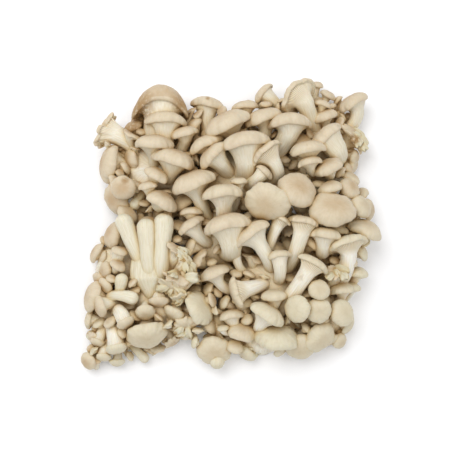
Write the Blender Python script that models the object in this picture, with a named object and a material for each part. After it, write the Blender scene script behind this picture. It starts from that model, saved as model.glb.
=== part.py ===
"""White beech mushroom cluster, built as a Blender scene in metres, with +Z up.

The cluster is a bunch of clumps that lie packed together. Each clump grew as one piece: its stems rise
from a common base, which the grower's knife left flat. Those flat bases all stand on the plane z = 0.
The origin is a point of that plane in the flat base of clump_middle, near the middle of the bunch, and
+Y points from there to the top of the bunch.
"""

import math
import random
from collections import namedtuple

import bmesh
import bpy
from mathutils import Vector, noise

MM = 0.001

# Clearance between clumps that press on each other.
GAP = 0.5 * MM

# The common base of a clump: an uneven lump that the knife cuts flat at z = 0. Its height, the width and
# height of its rings from the top down and how deep its lumps are, all as shares of its radius.
BASE_HEIGHT = 0.92
BASE_RINGS = ((0.66, 0.74), (1.0, 0.25), (0.93, -0.1))
BASE_SIDES = 8
BASE_LUMPS = 0.16
STEM_ROOT_HEIGHT = 0.40
STEM_ROOT_SPREAD = 0.65
STEM_ROOT_NEARER = 0.42

# Small mushrooms low on the outer side of each clump, where the bigger ones hide them.
LOW_CAP = 15
LOW_STEM = 8
LOW_HEIGHT = 11
LOW_REACH = 6
LOW_DISTANCE = 1.05
LOW_TURNS = (-45, 25)

FLESH_COLOUR = (0.70, 0.62, 0.46, 1.0)
FLESH_ROUGHNESS = 0.62

# How a cap is shaped, as shares of its radius: the dome above its widest line, the lip turned down below
# it, how deep the cap is against its width, how ragged its edge is and how far its two ends droop.
Shape = namedtuple("Shape", "dome lip depth ragged droop", defaults=(0,))
SHAPES = {
    "button": Shape(dome=0.52, lip=0.26, depth=0.96, ragged=0.03),
    "pillow": Shape(dome=0.40, lip=0.26, depth=0.82, ragged=0.05, droop=0.10),
    "open": Shape(dome=0.30, lip=0.22, depth=0.84, ragged=0.06, droop=0.08),
    "hood": Shape(dome=0.56, lip=0.20, depth=0.80, ragged=0.04, droop=0.45),
    "torn": Shape(dome=0.22, lip=0.16, depth=0.80, ragged=0.20),
    "finger": Shape(dome=0.90, lip=0.60, depth=0.95, ragged=0.02),
    "palm": Shape(dome=0.90, lip=0.60, depth=0.52, ragged=0.04),
}

# One mushroom. x, y and z are the middle of its cap at its widest line, cap and stem are diameters and
# reach is how far the stem runs straight before it bends down to the base, all in millimetres. heading is
# the way that the cap faces, in degrees from +X to +Y, and tilt how far it leans that way from upright.
Mushroom = namedtuple("Mushroom", "x y z cap heading tilt stem reach shape", defaults=("pillow",))

# A clump: where its base stands and the base's radius, in millimetres, and its mushrooms. A clump lies on
# those that come after it in this list.
Clump = namedtuple("Clump", "base_x base_y base_radius mushrooms")
CLUMPS = {
    "clump_middle": Clump(-8, -4, 24, [
        Mushroom(-26, 31, 35, 32, 110, 67, 10, 20),
        Mushroom(-5, 22, 39, 29, 94, 78, 11, 16),
        Mushroom(-2, 0, 42, 32, 102, 76, 14, 26),
        Mushroom(-27, 11, 25, 17, 95, 80, 7, 12),
        Mushroom(-28, 1, 28, 20, 126, 80, 9, 18),
        Mushroom(6, 30, 35, 12, 90, 74, 6, 10, "button"),
    ]),
    "clump_lower_middle": Clump(29, -36, 25, [
        Mushroom(35, 4, 35, 16, 64, 84, 8, 26, "open"),
        Mushroom(14, -6, 38, 28, 126, 88, 10, 26),
        Mushroom(51, 2, 36, 22, 76, 86, 10, 32, "open"),
        Mushroom(33, -21, 36, 16, 98, 82, 8, 20),
        Mushroom(3, -47, 30, 21, 198, 86, 10, 24, "open"),
        Mushroom(4, -19, 28, 8, 95, 80, 6, 14, "button"),
        Mushroom(-11, -32, 28, 21, 112, 74, 8, 16),
    ]),
    "clump_upper_middle": Clump(6, 40, 27, [
        Mushroom(25, 13, 43, 32, 250, 32, 12, 8),
        Mushroom(11, 59, 37, 34, 97, 78, 17, 22),
        Mushroom(-13, 50, 35, 24, 136, 70, 12, 14),
        Mushroom(24, 51, 36, 26, 130, 92, 10, 26, "open"),
        Mushroom(24, 37, 37, 14, 48, 80, 9, 14),
        Mushroom(-3, 75, 30, 35, 116, 69, 11, 10),
        Mushroom(24, 80, 27, 29, 106, 72, 10, 10),
        Mushroom(42, 75, 31, 31, 92, 78, 14, 12),
        Mushroom(-18, 60, 29, 25, 118, 70, 9, 10),
        Mushroom(-16, 93, 17, 25, 80, 80, 13, 18),
        Mushroom(5, 84, 12, 18, 90, 70, 8, 10),
    ]),
    "clump_right": Clump(70, 0, 23, [
        Mushroom(70, 10, 40, 32, 84, 20, 12, 8),
        Mushroom(46, 23, 41, 27, 55, 22, 10, 8, "button"),
        Mushroom(69, 26, 36, 17, 108, 58, 7, 8),
        Mushroom(84, 27, 28, 17, 40, 36, 7, 8, "button"),
        Mushroom(87, 36, 21, 14, 60, 50, 6, 8),
        Mushroom(92, 14, 27, 18, 25, 44, 8, 8, "button"),
        Mushroom(100, 14, 16, 16, 0, 62, 7, 8),
        Mushroom(95, -1, 25, 24, 68, 52, 9, 8),
        Mushroom(65, -6, 33, 23, 84, 80, 10, 18),
        Mushroom(83, -23, 24, 14, 60, 56, 6, 8),
        Mushroom(93, -16, 17, 16, 30, 60, 7, 8),
    ]),
    "clump_upper_right": Clump(66, 54, 24, [
        Mushroom(54, 54, 37, 25, 100, 70, 9, 10),
        Mushroom(55, 44, 37, 18, 103, 74, 7, 8),
        Mushroom(68, 41, 35, 21, 118, 56, 8, 8),
        Mushroom(67, 65, 29, 27, 132, 84, 15, 22),
        Mushroom(48, 96, 24, 31, 138, 122, 13, 12, "open"),
        Mushroom(24, 102, 16, 17, 140, 84, 9, 24),
        Mushroom(65, 110, 10, 10, 80, 60, 5, 8, "button"),
        Mushroom(73, 102, 12, 13, 60, 60, 6, 12),
        Mushroom(68, 83, 20, 20, 110, 62, 7, 8),
        Mushroom(90, 95, 17, 24, 120, 72, 10, 14),
        Mushroom(91, 68, 17, 23, 30, 52, 10, 10, "torn"),
        Mushroom(91, 53, 13, 11, 340, 60, 6, 8, "button"),
        Mushroom(86, 44, 15, 10, 20, 60, 5, 6, "button"),
    ]),
    "clump_upper_left": Clump(-54, 44, 25, [
        Mushroom(-39, 48, 33, 30, 74, 67, 12, 14),
        Mushroom(-54, 60, 30, 28, 88, 70, 8, 14),
        Mushroom(-51, 36, 33, 19, 58, 64, 8, 8),
        Mushroom(-57, 28, 33, 14, 100, 64, 7, 8),
        Mushroom(-47, 18, 32, 23, 58, 58, 9, 8),
        Mushroom(-75, 27, 29, 18, 250, 14, 8, 8, "button"),
        Mushroom(-82, 21, 16, 24, 215, 40, 8, 8),
        Mushroom(-68, 17, 18, 8, 240, 78, 7, 12, "finger"),
        Mushroom(-88, 48, 17, 29, 172, 68, 10, 18),
        Mushroom(-72, 51, 17, 18, 190, 60, 8, 8),
        Mushroom(-91, 72, 17, 26, 160, 100, 13, 22, "torn"),
        Mushroom(-71, 76, 17, 15, 120, 50, 8, 8),
        Mushroom(-33, 68, 28, 20, 104, 68, 9, 8),
        Mushroom(-46, 78, 27, 29, 86, 80, 15, 12),
        Mushroom(-50, 93, 22, 42, 90, 86, 25, 12, "hood"),
    ]),
    "clump_lower_right": Clump(65, -58, 20, [
        Mushroom(80, -12, 28, 29, 106, 98, 11, 14, "open"),
        Mushroom(60, -45, 35, 15, 90, 14, 7, 6, "button"),
        Mushroom(45, -58, 34, 19, 192, 32, 8, 6, "button"),
        Mushroom(60, -59, 31, 18, 280, 14, 8, 6, "button"),
        Mushroom(77, -60, 25, 19, 0, 26, 8, 6, "button"),
        Mushroom(62, -77, 20, 25, 310, 40, 9, 8),
        Mushroom(49, -83, 16, 22, 275, 42, 9, 8, "button"),
        Mushroom(77, -43, 23, 17, 100, 66, 7, 8),
        Mushroom(86, -41, 16, 12, 80, 60, 6, 8),
        Mushroom(77, -79, 10, 12, 320, 44, 6, 6, "button"),
        Mushroom(73, -32, 29, 18, 80, 40, 8, 8, "torn"),
        Mushroom(90, -31, 18, 14, 80, 50, 6, 8),
    ]),
    "clump_lower": Clump(22, -70, 20, [
        Mushroom(57, -26, 35, 22, 58, 84, 11, 30, "open"),
        Mushroom(32, -75, 23, 31, 86, 50, 8, 4),
        Mushroom(8, -72, 21, 21, 72, 50, 7, 4),
        Mushroom(26, -60, 31, 26, 58, 72, 8, 14),
        Mushroom(30, -48, 29, 18, 92, 68, 8, 8),
        Mushroom(14, -85, 10, 15, 285, 80, 8, 6, "torn"),
        Mushroom(3, -84, 8, 9, 280, 80, 6, 8, "button"),
        Mushroom(-11, -86, 15, 25, 276, 28, 9, 8),
        Mushroom(-9, -93, 13, 11, 268, 70, 8, 6, "finger"),
        Mushroom(-4, -52, 20, 11, 150, 60, 6, 8),
        Mushroom(1, -61, 22, 18, 98, 80, 8, 8),
        Mushroom(-9, -73, 13, 13, 200, 60, 7, 8, "torn"),
    ]),
    "clump_fingers": Clump(-48, -46, 24, [
        Mushroom(-74, 3, 27, 12, 112, 82, 12, 40, "finger"),
        Mushroom(-58, -1, 29, 13, 92, 84, 12, 42, "finger"),
        Mushroom(-46, 2, 29, 14, 86, 84, 14, 42, "finger"),
        Mushroom(-55, -27, 19, 31, 90, 88, 13, 13, "palm"),
        Mushroom(-35, -18, 28, 19, 44, 60, 9, 10, "torn"),
        Mushroom(-30, -27, 27, 20, 20, 56, 8, 8, "torn"),
        Mushroom(-34, -36, 28, 23, 80, 70, 12, 12, "torn"),
        Mushroom(-41, -43, 27, 18, 250, 50, 8, 8, "torn"),
        Mushroom(-34, -50, 26, 15, 290, 70, 7, 8, "torn"),
        Mushroom(-20, -56, 24, 26, 20, 46, 9, 10, "open"),
        Mushroom(-31, -69, 20, 19, 280, 50, 9, 8, "torn"),
        Mushroom(-49, -53, 24, 14, 270, 68, 8, 8),
        Mushroom(-39, -61, 22, 16, 240, 60, 8, 8),
        Mushroom(-57, -76, 22, 28, 285, 52, 10, 10),
        Mushroom(-58, -60, 24, 14, 280, 50, 7, 8, "button"),
        Mushroom(-40, -80, 9, 13, 300, 70, 7, 8, "torn"),
    ]),
    "clump_lower_left": Clump(-83, -66, 16, [
        Mushroom(-78, -84, 19, 15, 283, 80, 11, 22, "button"),
        Mushroom(-71, -67, 26, 13, 300, 78, 9, 16, "button"),
        Mushroom(-96, -48, 17, 22, 166, 70, 9, 12, "button"),
        Mushroom(-90, -55, 22, 16, 200, 70, 8, 12, "button"),
        Mushroom(-67, -50, 25, 9, 345, 84, 8, 20, "finger"),
        Mushroom(-92, -80, 14, 11, 252, 72, 8, 14, "button"),
        Mushroom(-99, -93, 10, 13, 220, 44, 7, 8, "button"),
        Mushroom(-88, -90, 12, 11, 268, 76, 8, 14, "button"),
        Mushroom(-60, -91, 6, 7, 315, 84, 6, 16, "finger"),
        Mushroom(-79, -94, 8, 11, 270, 70, 6, 8),
        Mushroom(-98, -75, 8, 7, 180, 84, 6, 8, "finger"),
    ]),
    "clump_left": Clump(-80, -24, 17, [
        Mushroom(-87, -41, 20, 12, 220, 60, 6, 6, "button"),
        Mushroom(-75, -37, 24, 9, 80, 76, 8, 12, "finger"),
        Mushroom(-78, -27, 23, 12, 60, 60, 6, 6, "button"),
        Mushroom(-88, -30, 16, 13, 190, 50, 6, 5, "button"),
        Mushroom(-77, -17, 23, 12, 70, 70, 7, 10, "button"),
        Mushroom(-84, -4, 15, 20, 165, 50, 8, 8),
        Mushroom(-91, -20, 11, 11, 170, 60, 5, 5, "button"),
    ]),
}


def dome_angles(mushroom):
    """Where the rings of a cap's dome lie, in degrees from its top: more where a big one faces up."""
    return (36, 66, 90) if mushroom.cap >= 26 and mushroom.tilt < 60 else (50, 90)


def stem_stations(mushroom):
    """Where the rings of a stem lie, as shares of its path: more of them on a long one."""
    if mushroom.shape == "palm":
        return 0.3, 0.6
    if mushroom.reach >= 20:
        return 0.07, 0.36, 0.7, 1.0
    return (0.08, 0.5, 1.0) if mushroom.cap >= 17 or mushroom.tilt > 50 else (0.12, 1.0)


def side_count(mushroom):
    """How many sides a mushroom's rings have: most where a big cap faces up."""
    if mushroom.cap >= 26:
        return 10 if mushroom.tilt < 60 else 8
    return 7 if mushroom.cap >= 17 else 6 if mushroom.cap >= 14 else 5


def facing(heading, tilt):
    """The cap's own axes: across it, through it from front to back, and out of its top."""
    turn, lean = math.radians(heading), math.radians(tilt)
    across = Vector((-math.sin(turn), math.cos(turn), 0))
    out = Vector((math.sin(lean) * math.cos(turn), math.sin(lean) * math.sin(turn), math.cos(lean)))
    return across, out.cross(across), out


def edge_share(angle, shape, seed):
    """The cap's outline at this angle, as a share of its radius: uneven, and ragged where it is torn."""
    slow = math.sin(2 * angle + seed) + 0.7 * math.sin(3 * angle + 2.3 * seed)
    fast = math.sin(5 * angle + 1.7 * seed)
    return 1 + shape.ragged * (0.7 * slow + 0.6 * fast)


def stem_path(start, out, mushroom, clump):
    """The four control points of a stem: straight out of the cap, then down and in to the clump's base."""
    straight = start - out * (0.8 * mushroom.reach * MM)
    foot = Vector((clump.base_x * MM, clump.base_y * MM, 0))
    away = (straight - foot).to_2d().to_3d()
    spread = min(STEM_ROOT_SPREAD * clump.base_radius * MM, STEM_ROOT_NEARER * away.length)
    root = foot + away.normalized() * spread
    root.z = STEM_ROOT_HEIGHT * clump.base_radius * MM
    bend = straight.lerp(root, 0.35)
    lowest = 0.5 * mushroom.stem * MM
    straight.z = max(straight.z, lowest)
    bend.z = max(0.55 * straight.z, lowest)
    return start, straight, bend, root


def bezier(points, share):
    """The point of a cubic Bezier curve at a share of its length."""
    a, b, c, d = points
    rest = 1 - share
    return a * rest**3 + b * 3 * rest**2 * share + c * 3 * rest * share**2 + d * share**3


def stem_share(share):
    """A stem's thickness along its path: flared under the cap, slim, and a little thicker at its root."""
    flare = 0.45 * math.exp(-share / 0.12)
    return 0.92 + flare + 0.12 * share**2


def mushroom_rings(mushroom, clump, seed):
    """A mushroom's skin as its top, its rings of points down to the root, and the middle of its root."""
    shape = SHAPES[mushroom.shape]
    radius = 0.5 * mushroom.cap * MM
    middle = Vector((mushroom.x, mushroom.y, mushroom.z)) * MM
    across, through, out = facing(mushroom.heading, mushroom.tilt)
    sides = side_count(mushroom)
    angles = [math.tau * i / sides for i in range(sides)]

    def cap_ring(width, height):
        points = []
        for angle in angles:
            reach = radius * width * (1 + (edge_share(angle, shape, seed) - 1) * width**2)
            side = across * math.cos(angle) + through * (math.sin(angle) * shape.depth)
            rise = height - shape.droop * (width * math.cos(angle))**2
            points.append(middle + side * reach + out * (radius * rise))
        return points

    rings = []
    for degrees in dome_angles(mushroom):
        slope = math.radians(degrees)
        rings.append(cap_ring(math.sin(slope), shape.dome * math.cos(slope)))
    rings.append(cap_ring(0.93, -shape.lip))
    path = stem_path(middle - out * (shape.lip * radius), out, mushroom, clump)
    for share in stem_stations(mushroom):
        here = bezier(path, share)
        ahead = bezier(path, min(share + 0.02, 1.0)) - bezier(path, min(share, 0.98))
        along = -ahead.normalized()
        side = (across - along * across.dot(along)).normalized()
        other = along.cross(side)
        thick = 0.5 * mushroom.stem * MM * stem_share(share)
        rings.append([here + (side * math.cos(a) + other * math.sin(a)) * thick for a in angles])
    return middle + out * (shape.dome * radius), rings, bezier(path, 1.0)


def skin_object(name, top, rings, bottom):
    """A closed mesh through a top point, rings of equal size and a bottom point."""
    mesh = bpy.data.meshes.new(name)
    shell = bmesh.new()
    loops = [[shell.verts.new(point) for point in ring] for ring in rings]
    first, last = shell.verts.new(top), shell.verts.new(bottom)
    count = len(loops[0])
    for i in range(count):
        j = (i + 1) % count
        shell.faces.new((first, loops[0][i], loops[0][j]))
        shell.faces.new((last, loops[-1][j], loops[-1][i]))
        for upper, lower in zip(loops, loops[1:]):
            shell.faces.new((upper[i], lower[i], lower[j]))
            shell.faces.new((upper[i], lower[j], upper[j]))
    shell.to_mesh(mesh)
    shell.free()
    return bpy.data.objects.new(name, mesh)


def base_object(name, clump):
    """The uneven lump that a clump's stems rise from."""
    radius = clump.base_radius * MM
    foot = Vector((clump.base_x * MM, clump.base_y * MM, 0))
    rings = []
    for width, height in BASE_RINGS:
        ring = []
        for i in range(BASE_SIDES):
            angle = math.tau * i / BASE_SIDES
            way = Vector((width * math.cos(angle), width * math.sin(angle), height))
            swell = 1 + BASE_LUMPS * noise.noise(way * 1.7 + foot * 90)
            ring.append(foot + way * (radius * swell))
        rings.append(ring)
    low = BASE_RINGS[-1][1] * radius
    return skin_object(name, foot + Vector((0, 0, BASE_HEIGHT * radius)), rings, foot + Vector((0, 0, low)))


def low_mushrooms(clump, draw):
    """Small mushrooms low on the outer side of a clump; an inner clump has none."""
    if math.hypot(clump.base_x, clump.base_y) < 2 * clump.base_radius:
        return []
    outward = math.degrees(math.atan2(clump.base_y, clump.base_x))
    low = []
    for turn in LOW_TURNS:
        heading = outward + turn + draw.uniform(-12, 12)
        away = LOW_DISTANCE * clump.base_radius
        low.append(Mushroom(
            clump.base_x + away * math.cos(math.radians(heading)),
            clump.base_y + away * math.sin(math.radians(heading)),
            LOW_HEIGHT * draw.uniform(0.85, 1.15), LOW_CAP * draw.uniform(0.85, 1.1), heading,
            draw.uniform(62, 84), LOW_STEM, LOW_REACH,
        ))
    return low


def clump_parts(name, clump, draw):
    """The base of a clump and its mushrooms, as objects that overlap each other."""
    parts = [base_object(name + "_base", clump)]
    for i, mushroom in enumerate(clump.mushrooms + low_mushrooms(clump, draw)):
        parts.append(skin_object(f"{name}_{i}", *mushroom_rings(mushroom, clump, i + clump.base_x)))
    return parts


def grown(part):
    """A copy of a part that is larger all round by the gap between clumps."""
    copy = bpy.data.objects.new(part.name + "_room", part.data.copy())
    shell = bmesh.new()
    shell.from_mesh(copy.data)
    shell.normal_update()
    moves = [vertex.co + vertex.normal * GAP for vertex in shell.verts]
    for vertex, place in zip(shell.verts, moves):
        vertex.co = place
    shell.to_mesh(copy.data)
    shell.free()
    return copy


def gathered(name, objects):
    """A collection of helper objects."""
    group = bpy.data.collections.new(name)
    bpy.context.scene.collection.children.link(group)
    for each in objects:
        group.objects.link(each)
    return group


def add_boolean(target, operation, group):
    """A Boolean of the target with every object of a collection."""
    boolean = target.modifiers.new(operation.title(), "BOOLEAN")
    boolean.operation = operation
    boolean.operand_type = "COLLECTION"
    boolean.collection = group
    boolean.solver = "MANIFOLD"


def keep_main_body(mesh):
    """Drops loose scraps and sealed hollows: only the body with the most faces stays."""
    shell = bmesh.new()
    shell.from_mesh(mesh)
    left, bodies = set(shell.verts), []
    while left:
        body, edge = set(), [left.pop()]
        while edge:
            vertex = edge.pop()
            body.add(vertex)
            for link in vertex.link_edges:
                other = link.other_vert(vertex)
                if other in left:
                    left.discard(other)
                    edge.append(other)
        bodies.append(body)
    bodies.sort(key=len)
    for body in bodies[:-1]:
        bmesh.ops.delete(shell, geom=list(body), context="VERTS")
    shell.to_mesh(mesh)
    shell.free()


def floor_cutter():
    """A block that takes away all below z = 0, as the knife leaves the clumps flat."""
    mesh = bpy.data.meshes.new("below")
    block = bmesh.new()
    bmesh.ops.create_cube(block, size=1)
    for vertex in block.verts:
        vertex.co = Vector((vertex.co.x * 0.4, vertex.co.y * 0.4, (vertex.co.z - 0.5) * 0.06))
    block.to_mesh(mesh)
    block.free()
    return bpy.data.objects.new("below", mesh)


def flesh_material():
    """Pale mushroom flesh."""
    material = bpy.data.materials.new("flesh")
    material.use_nodes = True
    shader = material.node_tree.nodes["Principled BSDF"]
    shader.inputs["Base Color"].default_value = FLESH_COLOUR
    shader.inputs["Roughness"].default_value = FLESH_ROUGHNESS
    shader.inputs["Metallic"].default_value = 0.0
    return material


def main():
    for each in list(bpy.data.objects):
        bpy.data.objects.remove(each)
    flesh = flesh_material()
    below = gathered("floor", [floor_cutter()])
    rooms = []
    for number, (name, clump) in enumerate(CLUMPS.items()):
        parts = clump_parts(name, clump, random.Random(number))
        room = gathered(name + "_rooms", [grown(part) for part in parts])
        body = parts[0]
        body.name = name
        bpy.context.scene.collection.objects.link(body)
        others = gathered(name + "_parts", parts[1:])
        add_boolean(body, "UNION", others)
        add_boolean(body, "DIFFERENCE", below)
        for upper in rooms:
            add_boolean(body, "DIFFERENCE", upper)
        bpy.context.view_layer.update()
        graph = bpy.context.evaluated_depsgraph_get()
        joined = bpy.data.meshes.new_from_object(body.evaluated_get(graph))
        body.modifiers.clear()
        body.data = joined
        keep_main_body(joined)
        joined.materials.clear()
        joined.materials.append(flesh)
        joined.shade_smooth()
        for part in parts[1:]:
            bpy.data.objects.remove(part)
        rooms.append(room)
    for room in rooms + [below]:
        for helper in list(room.objects):
            bpy.data.objects.remove(helper)


main()
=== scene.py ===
"""The looks of the white beech mushroom cluster, laid out as a Blender add-on, in metres with +Z up.

Every clump of the frame is replaced by a finer one that keeps its form: the same mushrooms, with rolled
cap edges, gills, fibrous stems and uneven skin. Young mushrooms and buttons fill the room low among the
stems, and shreds of flesh lie on the torn caps.
"""

import math
import random
from collections import namedtuple

import bpy
import numpy as np
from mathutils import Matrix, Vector, noise
from mathutils.bvhtree import BVHTree


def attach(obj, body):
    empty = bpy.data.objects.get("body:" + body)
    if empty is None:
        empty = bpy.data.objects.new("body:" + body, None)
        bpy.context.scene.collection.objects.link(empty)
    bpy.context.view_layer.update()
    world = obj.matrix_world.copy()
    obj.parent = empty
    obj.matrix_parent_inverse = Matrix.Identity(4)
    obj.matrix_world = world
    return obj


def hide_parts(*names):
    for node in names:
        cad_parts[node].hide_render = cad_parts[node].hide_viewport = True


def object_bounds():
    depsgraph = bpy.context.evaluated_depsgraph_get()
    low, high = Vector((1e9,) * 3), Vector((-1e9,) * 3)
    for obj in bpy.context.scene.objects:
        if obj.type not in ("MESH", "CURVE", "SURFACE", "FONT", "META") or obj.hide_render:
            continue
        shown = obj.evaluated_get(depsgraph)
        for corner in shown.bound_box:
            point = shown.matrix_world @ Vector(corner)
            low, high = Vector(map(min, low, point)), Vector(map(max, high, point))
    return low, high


bl_info = {
    "name": "White Beech Mushroom Cluster",
    "version": (1, 0, 0),
    "blender": (4, 5, 0),
    "location": "3D View > Sidebar > Mushrooms",
    "description": "Grows a bunch of pale mushrooms in clumps that share a cut base",
    "category": "Add Mesh",
}

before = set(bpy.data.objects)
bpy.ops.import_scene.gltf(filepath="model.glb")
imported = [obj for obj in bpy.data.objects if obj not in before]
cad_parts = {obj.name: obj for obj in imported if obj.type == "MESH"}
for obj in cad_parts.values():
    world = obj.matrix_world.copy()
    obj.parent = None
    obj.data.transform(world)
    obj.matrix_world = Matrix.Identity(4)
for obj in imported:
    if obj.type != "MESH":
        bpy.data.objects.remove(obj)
CAD_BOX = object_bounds()

MM = 0.001

# The common base of a clump, as shares of its radius: its height, the widths and heights of its outline
# from there down, and its lumps. Their scale is against the base, and the shift makes each base's own.
BASE_HEIGHT = 0.92
BASE_OUTLINE = ((0.66, 0.74), (1.0, 0.25), (0.93, -0.1))
BASE_LUMPS = 0.16
BASE_LUMP_SCALE = 1.7
BASE_LUMP_SHIFT = 90
BASE_SIDES = 72
BASE_RINGS = 24
BASE_FIRST_RING = 0.04

# Where a stem grows from the base: its height and its distance from the middle as shares of the base's
# radius, and the most of the way out to the mushroom that this distance may be.
STEM_ROOT_HEIGHT = 0.40
STEM_ROOT_SPREAD = 0.65
STEM_ROOT_NEARER = 0.42

# A stem's path: how much of its reach it runs straight, how far on the way to its root it then bends and
# how high, how many parts its length is measured in, and the step that its direction is taken over.
STEM_STRAIGHT = 0.8
STEM_BEND = 0.35
STEM_BEND_HEIGHT = 0.55
STEM_PARTS = 12
STEM_STEP = 0.02

# A stem's thickness as shares of its diameter: where it is slim, how much its flare under the cap adds and
# how soon that fades along it, the flare of a smooth shape, what its root adds, and its bulges.
STEM_SLIM = 0.92
STEM_FLARE = 0.3
STEM_FLARE_FADE = 0.16
SMOOTH_FLARE = 0.05
STEM_ROOT_SWELL = 0.12
STEM_BULGE = 0.05
STEM_BULGE_PACE = 9

# Small mushrooms low on the outer side of each clump: their sizes in millimetres and the least and most
# share of these, how far out they stand in base radii, and how they head from outward and lean, in degrees.
LOW_CAP = 15
LOW_STEM = 8
LOW_HEIGHT = 11
LOW_REACH = 6
LOW_HEIGHTS = (0.85, 1.15)
LOW_CAPS = (0.85, 1.1)
LOW_DISTANCE = 1.05
LOW_TURNS = (-45, 25)
LOW_SWING = 12
LOW_TILTS = (62, 84)

# How a cap is shaped, as shares of its radius: the dome above its widest line, the lip turned down below
# it, how deep the cap is against its width, how ragged its edge is and how far its two ends droop.
Shape = namedtuple("Shape", "dome lip depth ragged droop", defaults=(0,))
SHAPES = {
    "button": Shape(dome=0.52, lip=0.26, depth=0.96, ragged=0.03),
    "pillow": Shape(dome=0.40, lip=0.26, depth=0.82, ragged=0.05, droop=0.10),
    "open": Shape(dome=0.30, lip=0.22, depth=0.84, ragged=0.06, droop=0.08),
    "hood": Shape(dome=0.56, lip=0.20, depth=0.80, ragged=0.04, droop=0.45),
    "torn": Shape(dome=0.22, lip=0.16, depth=0.80, ragged=0.20),
    "finger": Shape(dome=0.90, lip=0.60, depth=0.95, ragged=0.02),
    "palm": Shape(dome=0.90, lip=0.60, depth=0.52, ragged=0.04),
}

# One mushroom. x, y and z are the middle of its cap at its widest line, cap and stem are diameters and
# reach is how far the stem runs straight before it bends down to the base, all in millimetres. heading is
# the way that the cap faces, in degrees from +X to +Y, and tilt how far it leans that way from upright.
Mushroom = namedtuple("Mushroom", "x y z cap heading tilt stem reach shape", defaults=("pillow",))

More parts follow.
